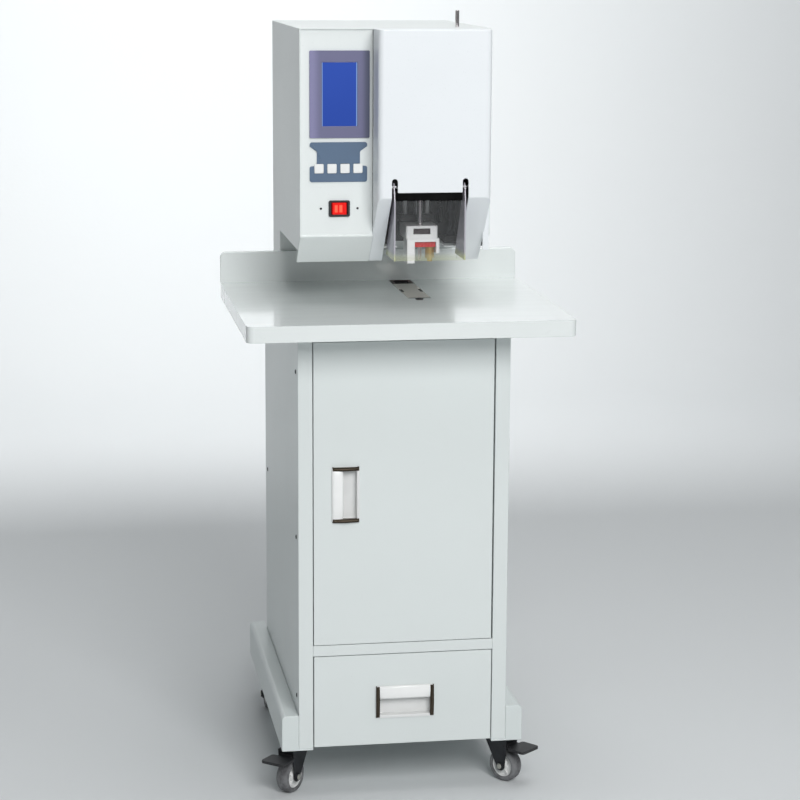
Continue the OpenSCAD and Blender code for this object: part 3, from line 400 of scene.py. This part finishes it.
black_zinc = worked_metal("black_zinc", shade(70, 71, 74), 0.46, (1, 1, 1), 90, 0.5)
axle_zinc = worked_metal("axle_zinc", shade(188, 186, 178), 0.3, (1, 1, 1), 120)
black_nylon = moulded("black_nylon", shade(30, 30, 33), 0.5)
white_nylon = moulded("white_nylon", shade(226, 227, 226), 0.36)
rubber = Finish("tread_rubber")
worn_tread = rubber.grain(70, 4)
tread_rubber = rubber.close({"Base Color": rubber.blend(worn_tread.between(0.4, 0.7), shade(120, 121, 123),
    shade(88, 88, 90)), "Roughness": 0.62 + 0.2 * (worn_tread - 0.5)}, rubber.grain(420, 3), 0.00012)

wheel_radius, wheel_half, tread_deep = 0.030, 0.012, 0.008
inner = wheel_radius - tread_deep
hub = (0, -0.020, wheel_radius)   # the axle, off the stem's line so that the castor trails
stem_x, stem_y = 0.183, (-0.185, 0.275)
tread_profile = mirrored([(0, wheel_radius), (0.0008, 0.0292), (0.0024, 0.0292), (0.0030, wheel_radius),
    (0.0078, 0.0296), (0.0112, 0.0275), (wheel_half, inner + 0.002), (0.0118, inner), (0.0085, inner - 0.001)])
disc_profile = mirrored([(0.0090, inner + 0.0003), (0.0104, 0.0205), (0.0098, 0.0190), (0.0055, 0.0175),
    (0.0060, 0.0105), (0.0095, 0.0095), (0.0110, 0.0085), (0.0110, 0.0042)])
nut_profile = [(0.0162, 0.0060), (0.0188, 0.0060), (0.0196, 0.0050), (0.0200, 0.0030)]
ribs_in_wheel = 5
for corner, side, row, turn in (("fl", -1, 0, -40), ("fr", 1, 0, 40), ("rl", -1, 1, 0), ("rr", 1, 1, 0)):
    roller, swivel = "roller_" + corner, "swivel_" + corner
    stand = Matrix.Translation((side * stem_x, stem_y[row], 0)) @ Matrix.Rotation(math.radians(turn), 4, "Z")
    Shape().turned(tread_profile, hub, "x", 64, True).piece(
        "tread_" + corner, roller, "grey_tread", tread_rubber, "wheel_" + corner, 0, soft=50, place=stand)
    for i in range(ribs_in_wheel):
        spoke = Matrix.Translation(hub) @ Matrix.Rotation(2 * math.pi * i / ribs_in_wheel, 4, "X")
        rib = Shape().box((-0.0088, 0.0088), (-0.0011, 0.0011), (0.0090, 0.0182))
        bmesh.ops.transform(rib.work, matrix=spoke, verts=rib.work.verts)
        rib.piece("rib_%s_%d" % (corner, i), roller, "white_plastic", white_nylon, (), 0.0004, place=stand)
    Shape().turned(disc_profile, hub, "x", 64, True).piece(
        "hub_" + corner, roller, "white_plastic", white_nylon, (), 0, place=stand)
    Shape("castor_" + corner).piece("fork_" + corner, swivel, "chassis_steel", black_zinc,
        "castor_" + corner, 0.0006)
    for end, letter in ((-1, "l"), (1, "r")):
        Shape().turned([(end * along, radius) for along, radius in nut_profile], hub, "x", 6).piece(
            "axle_nut_%s_%s" % (corner, letter), swivel, "steel", axle_zinc, (), 0.0003, place=stand)
for node, body in (("brake_pedal_left", "pedal_left"), ("brake_pedal_right", "pedal_right")):
    Shape(node).piece(node + "_moulding", body, "black_plastic", black_nylon, node, 0.0005, 3)

# ---------------------------------------------------------------- cabinet body
# Side sheets folded round the front stiles, a plain back with pressed vents, rails with folded
# lips and one shelf. All of it is thin steel sheet, spot welded and coated in one colour.
for node, slot, edge in (("side_panel_left", "paint_white", 0.0014),
        ("side_panel_right", "paint_white", 0.0014), ("back_panel", "paint_white", 0.0006),
        ("front_rails", "paint_white", 0.0007), ("shelf", "paint_grey", 0.0006)):
    Shape(node).piece(node + "_sheet", "machine", slot, body_grey, node, edge, 3, split=node == "back_panel")

# ---------------------------------------------------------------- side screws
# Cross-head pan screws of blacked steel hold the side sheets and the switch. Their heads are domed and
# have the driver's recess in the middle.
screw_black = worked_metal("screw_black", shade(58, 58, 62), 0.42, (1, 1, 1), 160)
cad_screws = bmesh.new()
cad_screws.from_mesh(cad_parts["cover_screws"].data)
bmesh.ops.remove_doubles(cad_screws, verts=cad_screws.verts, dist=2e-6)
loose, heads = set(cad_screws.verts), []
while loose:
    start = [loose.pop()]
    one = set(start)
    while start:
        for edge in start.pop().link_edges:
            for v in edge.verts:
                if v not in one:
                    one.add(v)
                    loose.discard(v)
                    start.append(v)
    heads.append((Vector(map(min, *[v.co for v in one])), Vector(map(max, *[v.co for v in one]))))
cad_screws.free()
heads.sort(key=lambda box: tuple(round(c, 4) for c in box[0]))
dome = [(0, 1), (0.35, 1), (0.72, 0.86), (0.95, 0.55), (1, 0.30), (0.45, 0.12)]   # shares of height, radius
for i, (low, high) in enumerate(heads):
    middle, size = (low + high) / 2, high - low
    along = 0 if size.x < size.y else 1
    out = (1 if middle.x > 0 else -1) if along == 0 else -1
    radius, deep = max(size) / 2, min(size)
    root = Vector(middle)
    root[along] -= out * deep / 2
    Shape().turned([(out * deep * a, radius * r) for a, r in dome], root, "xy"[along], 32).piece(
        "screw_%02d" % i, "machine", "chassis_steel", screw_black, "cover_screws" if i == 0 else (), 0, soft=60)

# ---------------------------------------------------------------- drawer
# A folded and galvanised box on steel runners behind a plain coated front, for the chips that the
# hollow drill takes out.
galvanised = worked_metal("galvanised_sheet", shade(168, 171, 172), 0.42, (1, 1, 1), 60, 0.5, 0.00003)
Shape("drawer_box").piece("drawer_tray", "drawer", "steel", galvanised, "drawer_box", 0.0005)
Shape("drawer_rails").piece("drawer_slides", "machine", "chassis_steel", black_zinc, "drawer_rails", 0.0005)
Shape("drawer_front").piece("drawer_face", "drawer", "paint_white", body_grey, "drawer_front", 0.0011, 3)

# ---------------------------------------------------------------- door
# A folded pan door, flush between the stiles with a thin dark gap round it. It turns on two pins at the
# right, which are fixed in the door.
Shape("door_panel").piece("door_face", "door", "paint_white", body_grey, "door_panel", 0.0011, 3)
Shape("hinge_pins").piece("door_pins", "door", "steel",
    worked_metal("pin_steel", shade(176, 176, 178), 0.28), "hinge_pins", 0.0004)

# ---------------------------------------------------------------- pulls
# Two recessed pulls of the same make: a white moulded grip, crowned for the fingers, between two
# bronzed metal end caps. The door's stands upright, the drawer's lies flat with its grip on top.
gloss_white = moulded("gloss_white", shade(242, 243, 242), 0.22, 300, 0.00001)
bronzed = worked_metal("bronzed_cap", shade(98, 88, 76), 0.34, (1, 1, 1), 70, 0.6)


def pull(name, body, node, centre, length, height, upright):
    """Built lying flat about its own middle with its front towards -Y, and stood on end for the door."""
    half, tall, cap_wide, back = length / 2, height / 2, 0.007, 0.0015
    grip_low = tall - 0.42 * height
    stand = Matrix.Translation(centre)
    if upright:
        stand = stand @ Matrix.Rotation(math.radians(-90), 4, "Y")
    Shape(node).piece(name + "_bed", body, "white_plastic", white_nylon, node, 0.0008, 3)
    steps = [i / 8 for i in range(9)]
    crown = [(-0.0024 - 0.0026 * math.sin(math.pi * (0.18 + 0.64 * t)),
        grip_low + 0.0012 + (tall - 0.0026 - grip_low) * t) for t in steps]
    grip = [(back, grip_low), (-0.0010, grip_low + 0.0004)] + crown
    grip += [(-0.0010, tall - 0.0008), (back, tall - 0.0006)]
    Shape().prism(grip, "x", cap_wide - half, half - cap_wide).piece(
        name + "_grip", body, "white_plastic", gloss_white, (), 0.0004, place=stand)
    bulge = [(-0.0040 - 0.0022 * math.sin(math.pi * t), -tall + 0.006 + (2 * tall - 0.010) * t) for t in steps]
    cap = [(back, -tall + 0.001), (-0.0026, -tall + 0.001), (-0.0040, -tall + 0.003)] + bulge
    cap += [(-0.0038, tall - 0.002), (back, tall - 0.0005)]
    for side, letter in ((-1, "a"), (1, "b")):
        ends = sorted((side * (half - 0.0004), side * (half - cap_wide)))
        Shape().prism(cap, "x", *ends).piece(
            "%s_cap_%s" % (name, letter), body, "steel", bronzed, (), 0.0007, 3, place=stand)


pull("door_pull", "door", "door_pull", (-0.1025, -0.245, 0.5515), 0.099, 0.049, True)
pull("drawer_pull", "drawer", "drawer_pull", (0.003, -0.245, 0.174), 0.104, 0.059, False)

# ---------------------------------------------------------------- worktop
# One folded steel tray, 560 mm wide, with welded and ground corners and a low stop along the back for
# the paper. It is coated glossier than the cabinet, and sheets slid over it have polished the middle.
tray = Finish("worktop_coat")
cloud = tray.grain(3.2, 4)
slid = tray.grain(7, 3, (1, 6, 1)).between(0.40, 0.70)
scuffs = tray.grain(60, 4, (1, 9, 1)).between(0.62, 0.74)
rubbed = tray.edges(0.003) * tray.grain(30, 3).between(0.45, 0.65) * 0.22
ground = tray.blend(cloud.between(0.4, 0.8) * 0.5, shade(226, 231, 230), shade(218, 224, 223))
worktop_coat = tray.close({"Base Color": tray.blend(rubbed + scuffs * 0.08, ground, shade(176, 180, 180)),
    "Roughness": 0.17 + 0.06 * (cloud - 0.5) - 0.03 * slid + 0.1 * scuffs, "IOR": 1.5,
    "Coat Weight": 0.5, "Coat Roughness": 0.05}, tray.grain(480, 2) * 0.6 + tray.grain(120, 2) * 0.4, 0.00002)
Shape("worktop").piece("worktop_tray", "machine", "paint_white", worktop_coat, "worktop", 0.0016, 3)

# ---------------------------------------------------------------- insert plate and lower die
# A loose ground plate over the drill's way, dark brown across its rear over the well, and painted near
# black below its top face as painted shade in its notches. The hardened die that the hollow drill meets
# stands in front of it.
slide_low, slide_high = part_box("insert_plate")
slide = Finish("slide_steel")
marks = slide.grain(420, 3, (1, 12, 1))
# 1 on the top face; below it, in the notches and along the sides, the plate is painted near black as painted
# shade
unshaded_top = slide.along("z").between(slide_high[2] - 0.0014, slide_high[2] - 0.0005)
rear = slide.along("y").between(slide_high[1] - 0.056, slide_high[1] - 0.053)
behind_lip = slide.along("y").between(slide_low[1] + 0.0035, slide_low[1] + 0.0055)
ground = slide.blend(marks * 0.4, shade(216, 211, 204), shade(182, 177, 171))
ground = slide.blend(behind_lip, shade(30, 28, 28), ground)
ground = slide.blend(rear, ground, shade(58, 30, 20))
slide_steel = slide.close({"Base Color": slide.blend(unshaded_top, shade(20, 16, 15), ground),
    "Metallic": 0.5 * unshaded_top * (1 - rear), "Roughness": 0.46 + 0.16 * (marks - 0.5)}, marks, 0.00002)
Shape("insert_plate").piece("insert_slide", "machine", "steel", slide_steel, "insert_plate", 0.0004)
# A near-black brown sheet closes the well from below.
well_brown = moulded("well_floor_brown", shade(30, 15, 10), 0.6)
well_side, well_front, well_rear, well_deep = 0.010, 0.060, 0.010, 0.0006   # from the plate's edges
Shape().box((slide_low[0] + well_side, slide_high[0] - well_side),
    (slide_high[1] - well_front, slide_high[1] - well_rear), (slide_low[2] - well_deep, slide_low[2])).piece(
    "chip_well_floor", "machine", "black_plastic", well_brown, (), 0.0002)
Shape("lower_die").piece("die_button", "machine", "bright_steel",
    worked_metal("die_steel", shade(70, 68, 68), 0.3, (1, 1, 1), 200), "lower_die", 0.0004)

# ---------------------------------------------------------------- column and head
# The head is a folded box that leans over the worktop on a boxed column; its front is a recessed panel
# for the controls at the left and a raised cover over the drill at the right, chamfered towards the paper.
head_white = powder_coat("head_powder_coat", shade(226, 231, 230), 0.12)
cover_white = powder_coat("drill_cover_coat", shade(231, 235, 238), 0.10, 0.34)
for node, finish, slot, edge in (
        ("head_cover", head_white, "paint_white", 0.0020), ("rear_cover", body_grey, "paint_grey", 0.0006),
        ("fascia", head_white, "paint_white", 0.0009), ("drill_cover", cover_white, "paint_white", 0.0014)):
    Shape(node).piece(node + "_skin", "machine", slot, finish, node, edge, 3, split=node == "head_cover")

# ---------------------------------------------------------------- display
# A blue backlit dot display behind a grey-violet bezel of printed film. The bezel is painted lighter at its
# left, a painted highlight on its bevel, and darker towards its right, a painted shadow at its edge; nothing is
# shown on the display, and the backlight leaks out as a thin bright line at its sides.
bezel = Finish("display_bezel")
bezel_low, bezel_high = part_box("lcd_bezel")
across = bezel.along("x")
film_grain = bezel.grain(240, 2)
# painted highlight: the bezel's left is lighter; painted shadow: its right edge is darker
lit_left_rim = across.between(bezel_low[0] + 0.004, bezel_low[0] + 0.020)
shaded_right_rim = across.between(bezel_high[0] - 0.016, bezel_high[0] - 0.001)
painted_light_tone = bezel.blend(lit_left_rim, shade(132, 130, 166), shade(108, 108, 138))
painted_light_tone = bezel.blend(shaded_right_rim, painted_light_tone, shade(84, 88, 108))
bezel_film = bezel.close({"Base Color": bezel.blend(film_grain * 0.2, painted_light_tone, shade(98, 98, 126)),
    "Roughness": 0.42 + 0.08 * film_grain, "Specular IOR Level": 0.35}, film_grain, 0.00002)
Shape("lcd_bezel").piece("display_frame", "machine", "bezel_plastic", bezel_film, "lcd_bezel", 0.0016, 3)
glow = Finish("display_glow")
glass_low, glass_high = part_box("lcd_glass")
lit = glow.blend(glow.along("z").between(glass_low[2], glass_high[2]), shade(42, 78, 172), shade(50, 86, 184))
leak = 1 - glow.along("x").band(glass_low[0] + 0.0011, glass_high[0] - 0.0018, 0.0002)
lit = glow.blend(leak, glow.blend(glow.grain(14, 3) * 0.25, lit, shade(36, 66, 156)), shade(140, 174, 224))
screen_glow = glow.close({"Base Color": shade(18, 30, 76), "Roughness": 0.10 + 0.05 * glow.grain(30, 2),
    "Emission Strength": 0.80, "Emission Color": lit, "Coat Weight": 0.4}, glow.grain(40, 2), 0.00001)
Shape("lcd_glass").piece("display_glass", "machine", "screen", screen_glow, "lcd_glass", 0.0003)

# ---------------------------------------------------------------- key panel
# A printed slate film and four white moulded keys. The film narrows to a waist below its upper plate and
# widens again at its foot.
slate = moulded("key_film", shade(92, 112, 136), 0.3, 300, 0.00001)
film_low, film_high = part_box("key_panel")
film_shape = Shape("key_panel")
waist = [(-0.002, -0.0072), (0.0, -0.0072), (0.0112, -0.0150), (0.0124, -0.0170), (0.0124, -0.0385),
    (0.0105, -0.0405), (0.003, -0.0411), (0.0008, -0.0418), (0.0, -0.0440), (-0.002, -0.0440)]
for side, outer in ((1, film_low[0]), (-1, film_high[0])):
    film_shape.cut(Shape().prism([(outer + side * x, film_high[2] + z) for x, z in waist],
        "y", film_low[1] - 0.002, film_high[1] + 0.002))
film_shape.piece("key_film", "machine", "slate_film", slate, "key_panel", 0.0005)
key_white = moulded("key_white", shade(236, 237, 236), 0.32)
for i in range(1, 5):
    Shape("key_%d" % i).piece("key_cap_%d" % i, "key_%d_body" % i, "white_plastic", key_white,
        "key_%d" % i, 0.0008, 3)

# ---------------------------------------------------------------- power switch
# A black rocker housing set into the front panel. The rocker is of clear red plastic with two lamps
# behind it, both lit.
Shape("switch_housing").piece("switch_frame", "machine", "black_plastic", black_nylon, "switch_housing",
    0.0008, 3)
red = Finish("lamp_red")
bloom = red.grain(160, 2)
rocker_low, rocker_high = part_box("rocker_switch")
pivot = (rocker_low[0] + rocker_high[0]) / 2
across = red.along("x")
lamps = across.band(pivot - 0.0084, pivot - 0.0032, 0.0008)
lamps = lamps + across.band(pivot - 0.0002, pivot + 0.0048, 0.0008)
lamps = lamps * red.along("z").band(rocker_low[2] + 0.005, rocker_high[2] - 0.005, 0.0012)
lamp_red = red.close({"Base Color": red.blend(bloom, shade(206, 26, 20), shade(176, 14, 12)),
    "Roughness": 0.18 + 0.06 * bloom, "Emission Strength": 0.9,
    "Emission Color": red.blend(lamps, shade(168, 14, 10), shade(255, 112, 84))}, red.grain(500, 2), 0.00003)
Shape("rocker_switch").piece("rocker_lamps", "rocker", "red_lamp", lamp_red, "rocker_switch", 0.0006, 3)

# ---------------------------------------------------------------- clear guard
# A bent sheet of clear acrylic that swings up on a thin steel rod to reach the press foot. Its sides, seen edge
# on, are painted an almost opaque grey as a painted sheen, and its lower hem greenish, painted light from the
# backplash seen through the tinted sheet. A black strip behind the window's upper edge is a painted shadow
# under the cover.
acrylic = Finish("clear_acrylic")
haze = acrylic.grain(55, 4)
guard_low, guard_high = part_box("clear_guard")
side_thick, hem_low, hem_high = 0.0023, 0.004, 0.016
# painted sheen on the sides and painted light on the hem, laid over the clear sheet's own tint
painted_flange_sheen = 1 - acrylic.along("x").band(guard_low[0] + side_thick, guard_high[0] - side_thick, 0.0003)
painted_hem_light = 1 - acrylic.along("z").between(guard_low[2] + hem_low, guard_low[2] + hem_high)
tint_and_painted_sheen = acrylic.blend(painted_flange_sheen, shade(226, 230, 232), shade(190, 187, 197))
clear_acrylic = acrylic.close({"Base Color": acrylic.blend(painted_hem_light * 0.7, tint_and_painted_sheen, shade(190, 196, 132)),
    "Roughness": 0.03 + 0.05 * haze.between(0.5, 0.8), "Specular IOR Level": 0.5,
    "Alpha": 0.02 + 0.02 * haze + painted_flange_sheen * 0.80 + painted_hem_light * 0.16}, haze, 0.000005)
Shape("clear_guard").piece("guard_sheet", "guard", "clear_plastic", clear_acrylic, "clear_guard", 0.0003)
satin_steel = worked_metal("satin_steel", shade(190, 191, 192), 0.28, (1, 12, 1), 420)
Shape("guard_rod").piece("guard_hinge_rod", "machine", "steel", satin_steel, "guard_rod", 0.0003)
cover_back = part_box("drill_cover")[0][1] + 0.0025
# A near-black strip behind the window's top edge stands for the shadow under the cover and the rod: painted
# shadow.
painted_shadow_black = moulded("painted_shadow_black", shade(8, 8, 9), 0.9, Specular_IOR_Level=0.1)
strip_side, strip_foot, strip_top, strip_thick = 0.006, 0.029, 0.010, 0.002   # from the guard's edges
Shape().box((guard_low[0] + strip_side, guard_high[0] - strip_side), (cover_back, cover_back + strip_thick),
    (guard_high[2] - strip_foot, guard_high[2] - strip_top)).piece(
    "window_shadow_strip", "machine", "black_plastic", painted_shadow_black, (), 0.0004)

# ---------------------------------------------------------------- frame behind the drill
# A welded C-frame of plate steel carries two ground posts, the lift motor and its lead screw. A milled
# carriage on the posts holds the drill motor, which drives the spindle by a belt.
turned_alloy = worked_metal("turned_alloy", shade(190, 192, 194), 0.26, (1, 1, 30), 200)
# The frame is dark enamel painted darker still, and the ground posts are painted dark grey; both darkenings are
# painted shade inside the head, behind the window.
frame_shaded_grey = powder_coat("frame_enamel_and_shade", shade(42, 41, 42), 0.2, 0.6)
shaded_posts = worked_metal("shaded_posts", shade(62, 62, 66), 0.26, (1, 1, 20), 300)
milled_alloy = worked_metal("milled_alloy", shade(176, 178, 180), 0.34, (8, 1, 1), 300)
belt_rubber = moulded("belt_rubber", shade(34, 34, 35), 0.7, 900, 0.00008)
for node, body, slot, finish, edge in (
        ("c_frame", "machine", "steel", frame_shaded_grey, 0.0010),
        ("guide_posts", "machine", "bright_steel", shaded_posts, 0.0005),
        ("lift_motor", "machine", "chassis_steel", black_zinc, 0.0015),
        ("carriage", "drill_carriage", "alloy", milled_alloy, 0.0010),
        ("drill_motor", "drill_carriage", "chassis_steel", black_zinc, 0.0020),
        ("motor_pulley", "motor_pulley_body", "alloy", turned_alloy, 0.0005),
        ("drive_belt", "drill_carriage", "belt_rubber", belt_rubber, 0.0003)):
    Shape(node).piece(node + "_work", body, slot, finish, node, edge, 2)

# ---------------------------------------------------------------- power supply and inlet
# A closed supply of galvanised sheet stands on the shelf. The inlet in the back is a standard appliance
# coupler of black nylon, with three flat pins, held by two blacked screws.
Shape("power_supply").piece("power_supply_work", "machine", "steel", galvanised, "power_supply", 0.0010, 2)
Shape("power_inlet").piece("power_inlet_work", "machine", "black_plastic", black_nylon, "power_inlet",
    0.0008, 2)
inlet_low, inlet_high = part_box("power_inlet")
middle_x, middle_z, rear = (inlet_low[0] + inlet_high[0]) / 2, (inlet_low[2] + inlet_high[2]) / 2, inlet_high[1]
pin_half, pin_half_tall, pin_root, pin_tip, screw_out = 0.001, 0.002, 0.0172, 0.006, 0.0190
for i, (x, z) in enumerate(((-0.007, -0.002), (0, 0.002), (0.007, -0.002))):
    Shape().box((middle_x + x - pin_half, middle_x + x + pin_half), (rear - pin_root, rear - pin_tip),
        (middle_z + z - pin_half_tall, middle_z + z + pin_half_tall)).piece(
        "inlet_pin_%d" % i, "machine", "brass", axle_zinc, (), 0.0005, 3)
for side, letter in ((-1, "a"), (1, "b")):
    Shape().turned([(0, 0.0030), (0.0008, 0.0030), (0.0014, 0.0024), (0.0017, 0.0012), (0.0009, 0.0006)],
        (middle_x + side * screw_out, rear, middle_z), "y", 24).piece(
        "inlet_screw_" + letter, "machine", "chassis_steel", screw_black, (), 0, soft=60)

# ---------------------------------------------------------------- lead screw, spindle and hollow drill
# The lead screw is cut with a trapezoid thread; the spindle is ground and its chuck blacked; the hollow
# drill is polished and open right through for the chips. The rivet feed tube is plated like the drill.
chuck_black = worked_metal("chuck_black", shade(64, 64, 68), 0.34, (1, 1, 1), 180)
drill_chrome = worked_metal("drill_chrome", shade(226, 220, 220), 0.10, (1, 1, 1), 300, 0.08)
for node, body in (("hollow_drill", "drill_spindle"), ("feed_tube", "machine")):
    Shape(node).piece(node + "_turned", body, "bright_steel", drill_chrome, node, 0.0004)

screw_low, screw_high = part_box("lead_screw")
screw_axis = ((screw_low[0] + screw_high[0]) / 2, (screw_low[1] + screw_high[1]) / 2)
screw_radius, thread_pitch, thread_deep = 0.006, 0.004, 0.0011
top, coupling_high, coupling_r = screw_high[2], 0.025, (screw_high[0] - screw_low[0]) / 2
rim_in, waist_r, coupling_hole = coupling_r - 0.0006, coupling_r - 0.0012, 0.0041
Shape().threaded(screw_axis, screw_low[2], top - coupling_high + 0.0001, screw_radius, thread_pitch,
    thread_deep).piece("lead_screw_thread", "screw", "steel", satin_steel, "lead_screw", 0, soft=30)
Shape().turned([(top - coupling_high, coupling_hole), (top - coupling_high, rim_in),
    (top - 0.0244, coupling_r), (top - 0.0150, coupling_r), (top - 0.0146, waist_r),
    (top - 0.0134, waist_r), (top - 0.0130, coupling_r), (top - 0.0006, coupling_r), (top, rim_in),
    (top, coupling_hole)], (*screw_axis, 0), "z", 40, True).piece(
    "screw_coupling", "screw", "alloy", turned_alloy, (), 0)

spindle_low, spindle_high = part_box("spindle")
drill_axis = ((spindle_low[0] + spindle_high[0]) / 2, (spindle_low[1] + spindle_high[1]) / 2, 0)
chuck_high, pulley_high, bore_r = 0.018, 0.015, 0.0021
tip, top = spindle_low[2], spindle_high[2]
nose, pulley_foot = tip + chuck_high, top - pulley_high
shaft_r, flange_r = 0.012, 0.017
Shape().turned([(nose, bore_r), (nose, shaft_r - 0.0006), (nose + 0.0006, shaft_r),
    (pulley_foot - 0.0147, shaft_r), (pulley_foot - 0.0147, flange_r - 0.0005),
    (pulley_foot - 0.0142, flange_r), (pulley_foot - 0.0085, flange_r),
    (pulley_foot - 0.008, flange_r - 0.0005), (pulley_foot - 0.008, shaft_r), (pulley_foot, shaft_r),
    (pulley_foot, bore_r)], drill_axis, "z", 48, True).piece(
    "spindle_shaft", "drill_spindle", "bright_steel", satin_steel, "spindle", 0)
chuck_r, neck_r, chuck_hole = 0.0090, 0.0086, 0.0053
Shape().turned([(tip, chuck_hole), (tip, 0.0070), (tip + 0.0006, 0.0078), (tip + 0.0050, neck_r),
    (tip + 0.0056, chuck_r), (tip + 0.0075, chuck_r), (tip + 0.0079, neck_r), (tip + 0.0088, neck_r),
    (tip + 0.0092, chuck_r), (nose - 0.0012, chuck_r), (nose, 0.0082), (nose, chuck_hole)],
    drill_axis, "z", 40, True).piece("drill_chuck", "drill_spindle", "chassis_steel", chuck_black, (), 0)
rim_r, rim_edge, groove_r = 0.027, 0.0265, 0.025
Shape().turned([(pulley_foot, bore_r), (pulley_foot, rim_edge), (pulley_foot + 0.0005, rim_r),
    (pulley_foot + 0.0015, rim_r), (pulley_foot + 0.002, rim_edge), (pulley_foot + 0.002, groove_r),
    (top - 0.002, groove_r), (top - 0.002, rim_edge), (top - 0.0015, rim_r), (top - 0.0005, rim_r),
    (top, rim_edge), (top, bore_r)], drill_axis, "z", 56, True).piece(
    "spindle_pulley", "drill_spindle", "alloy", turned_alloy, (), 0)

# ---------------------------------------------------------------- press foot
# A white cast foot on two sliding rods, with a bent bracket under it, the red heater bar and the brass
# punch that flares the rivet. The recess in the foot's front is painted dark, a painted shade.
foot_low, foot_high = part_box("press_foot")


def foot_pocket_shade(paint):
    """1 in the recess of the foot's front, painted dark as painted shade, and 0 on the rest of the foot."""
    middle, half, near, far = (foot_low[0] + foot_high[0]) / 2, 0.0151, 0.0155, 0.0145
    return (paint.along("x").band(middle - half, middle + half, 0.0002)
        * paint.along("z").band(foot_low[2] + 0.0079, foot_low[2] + 0.0181, 0.0002)
        * (1 - paint.along("y").between(drill_axis[1] - near, drill_axis[1] - far)))


foot_white = powder_coat("foot_enamel", shade(236, 236, 236), 0.4, 0.3, foot_pocket_shade)
heater_red = powder_coat("heater_enamel", shade(190, 34, 32), 0.5, 0.35)
turned_brass = worked_metal("turned_brass", shade(206, 172, 104), 0.24, (1, 1, 24), 240)
for node, slot, finish, edge in (
        ("press_foot", "white_plastic", foot_white, 0.0012),
        ("foot_bracket", "white_plastic", foot_white, 0.0008),
        ("heater_block", "red_block", heater_red, 0.0008),
        ("rivet_punch", "brass", turned_brass, 0.0005)):
    Shape(node).piece(node + "_part", "foot", slot, finish, node, edge, 2)
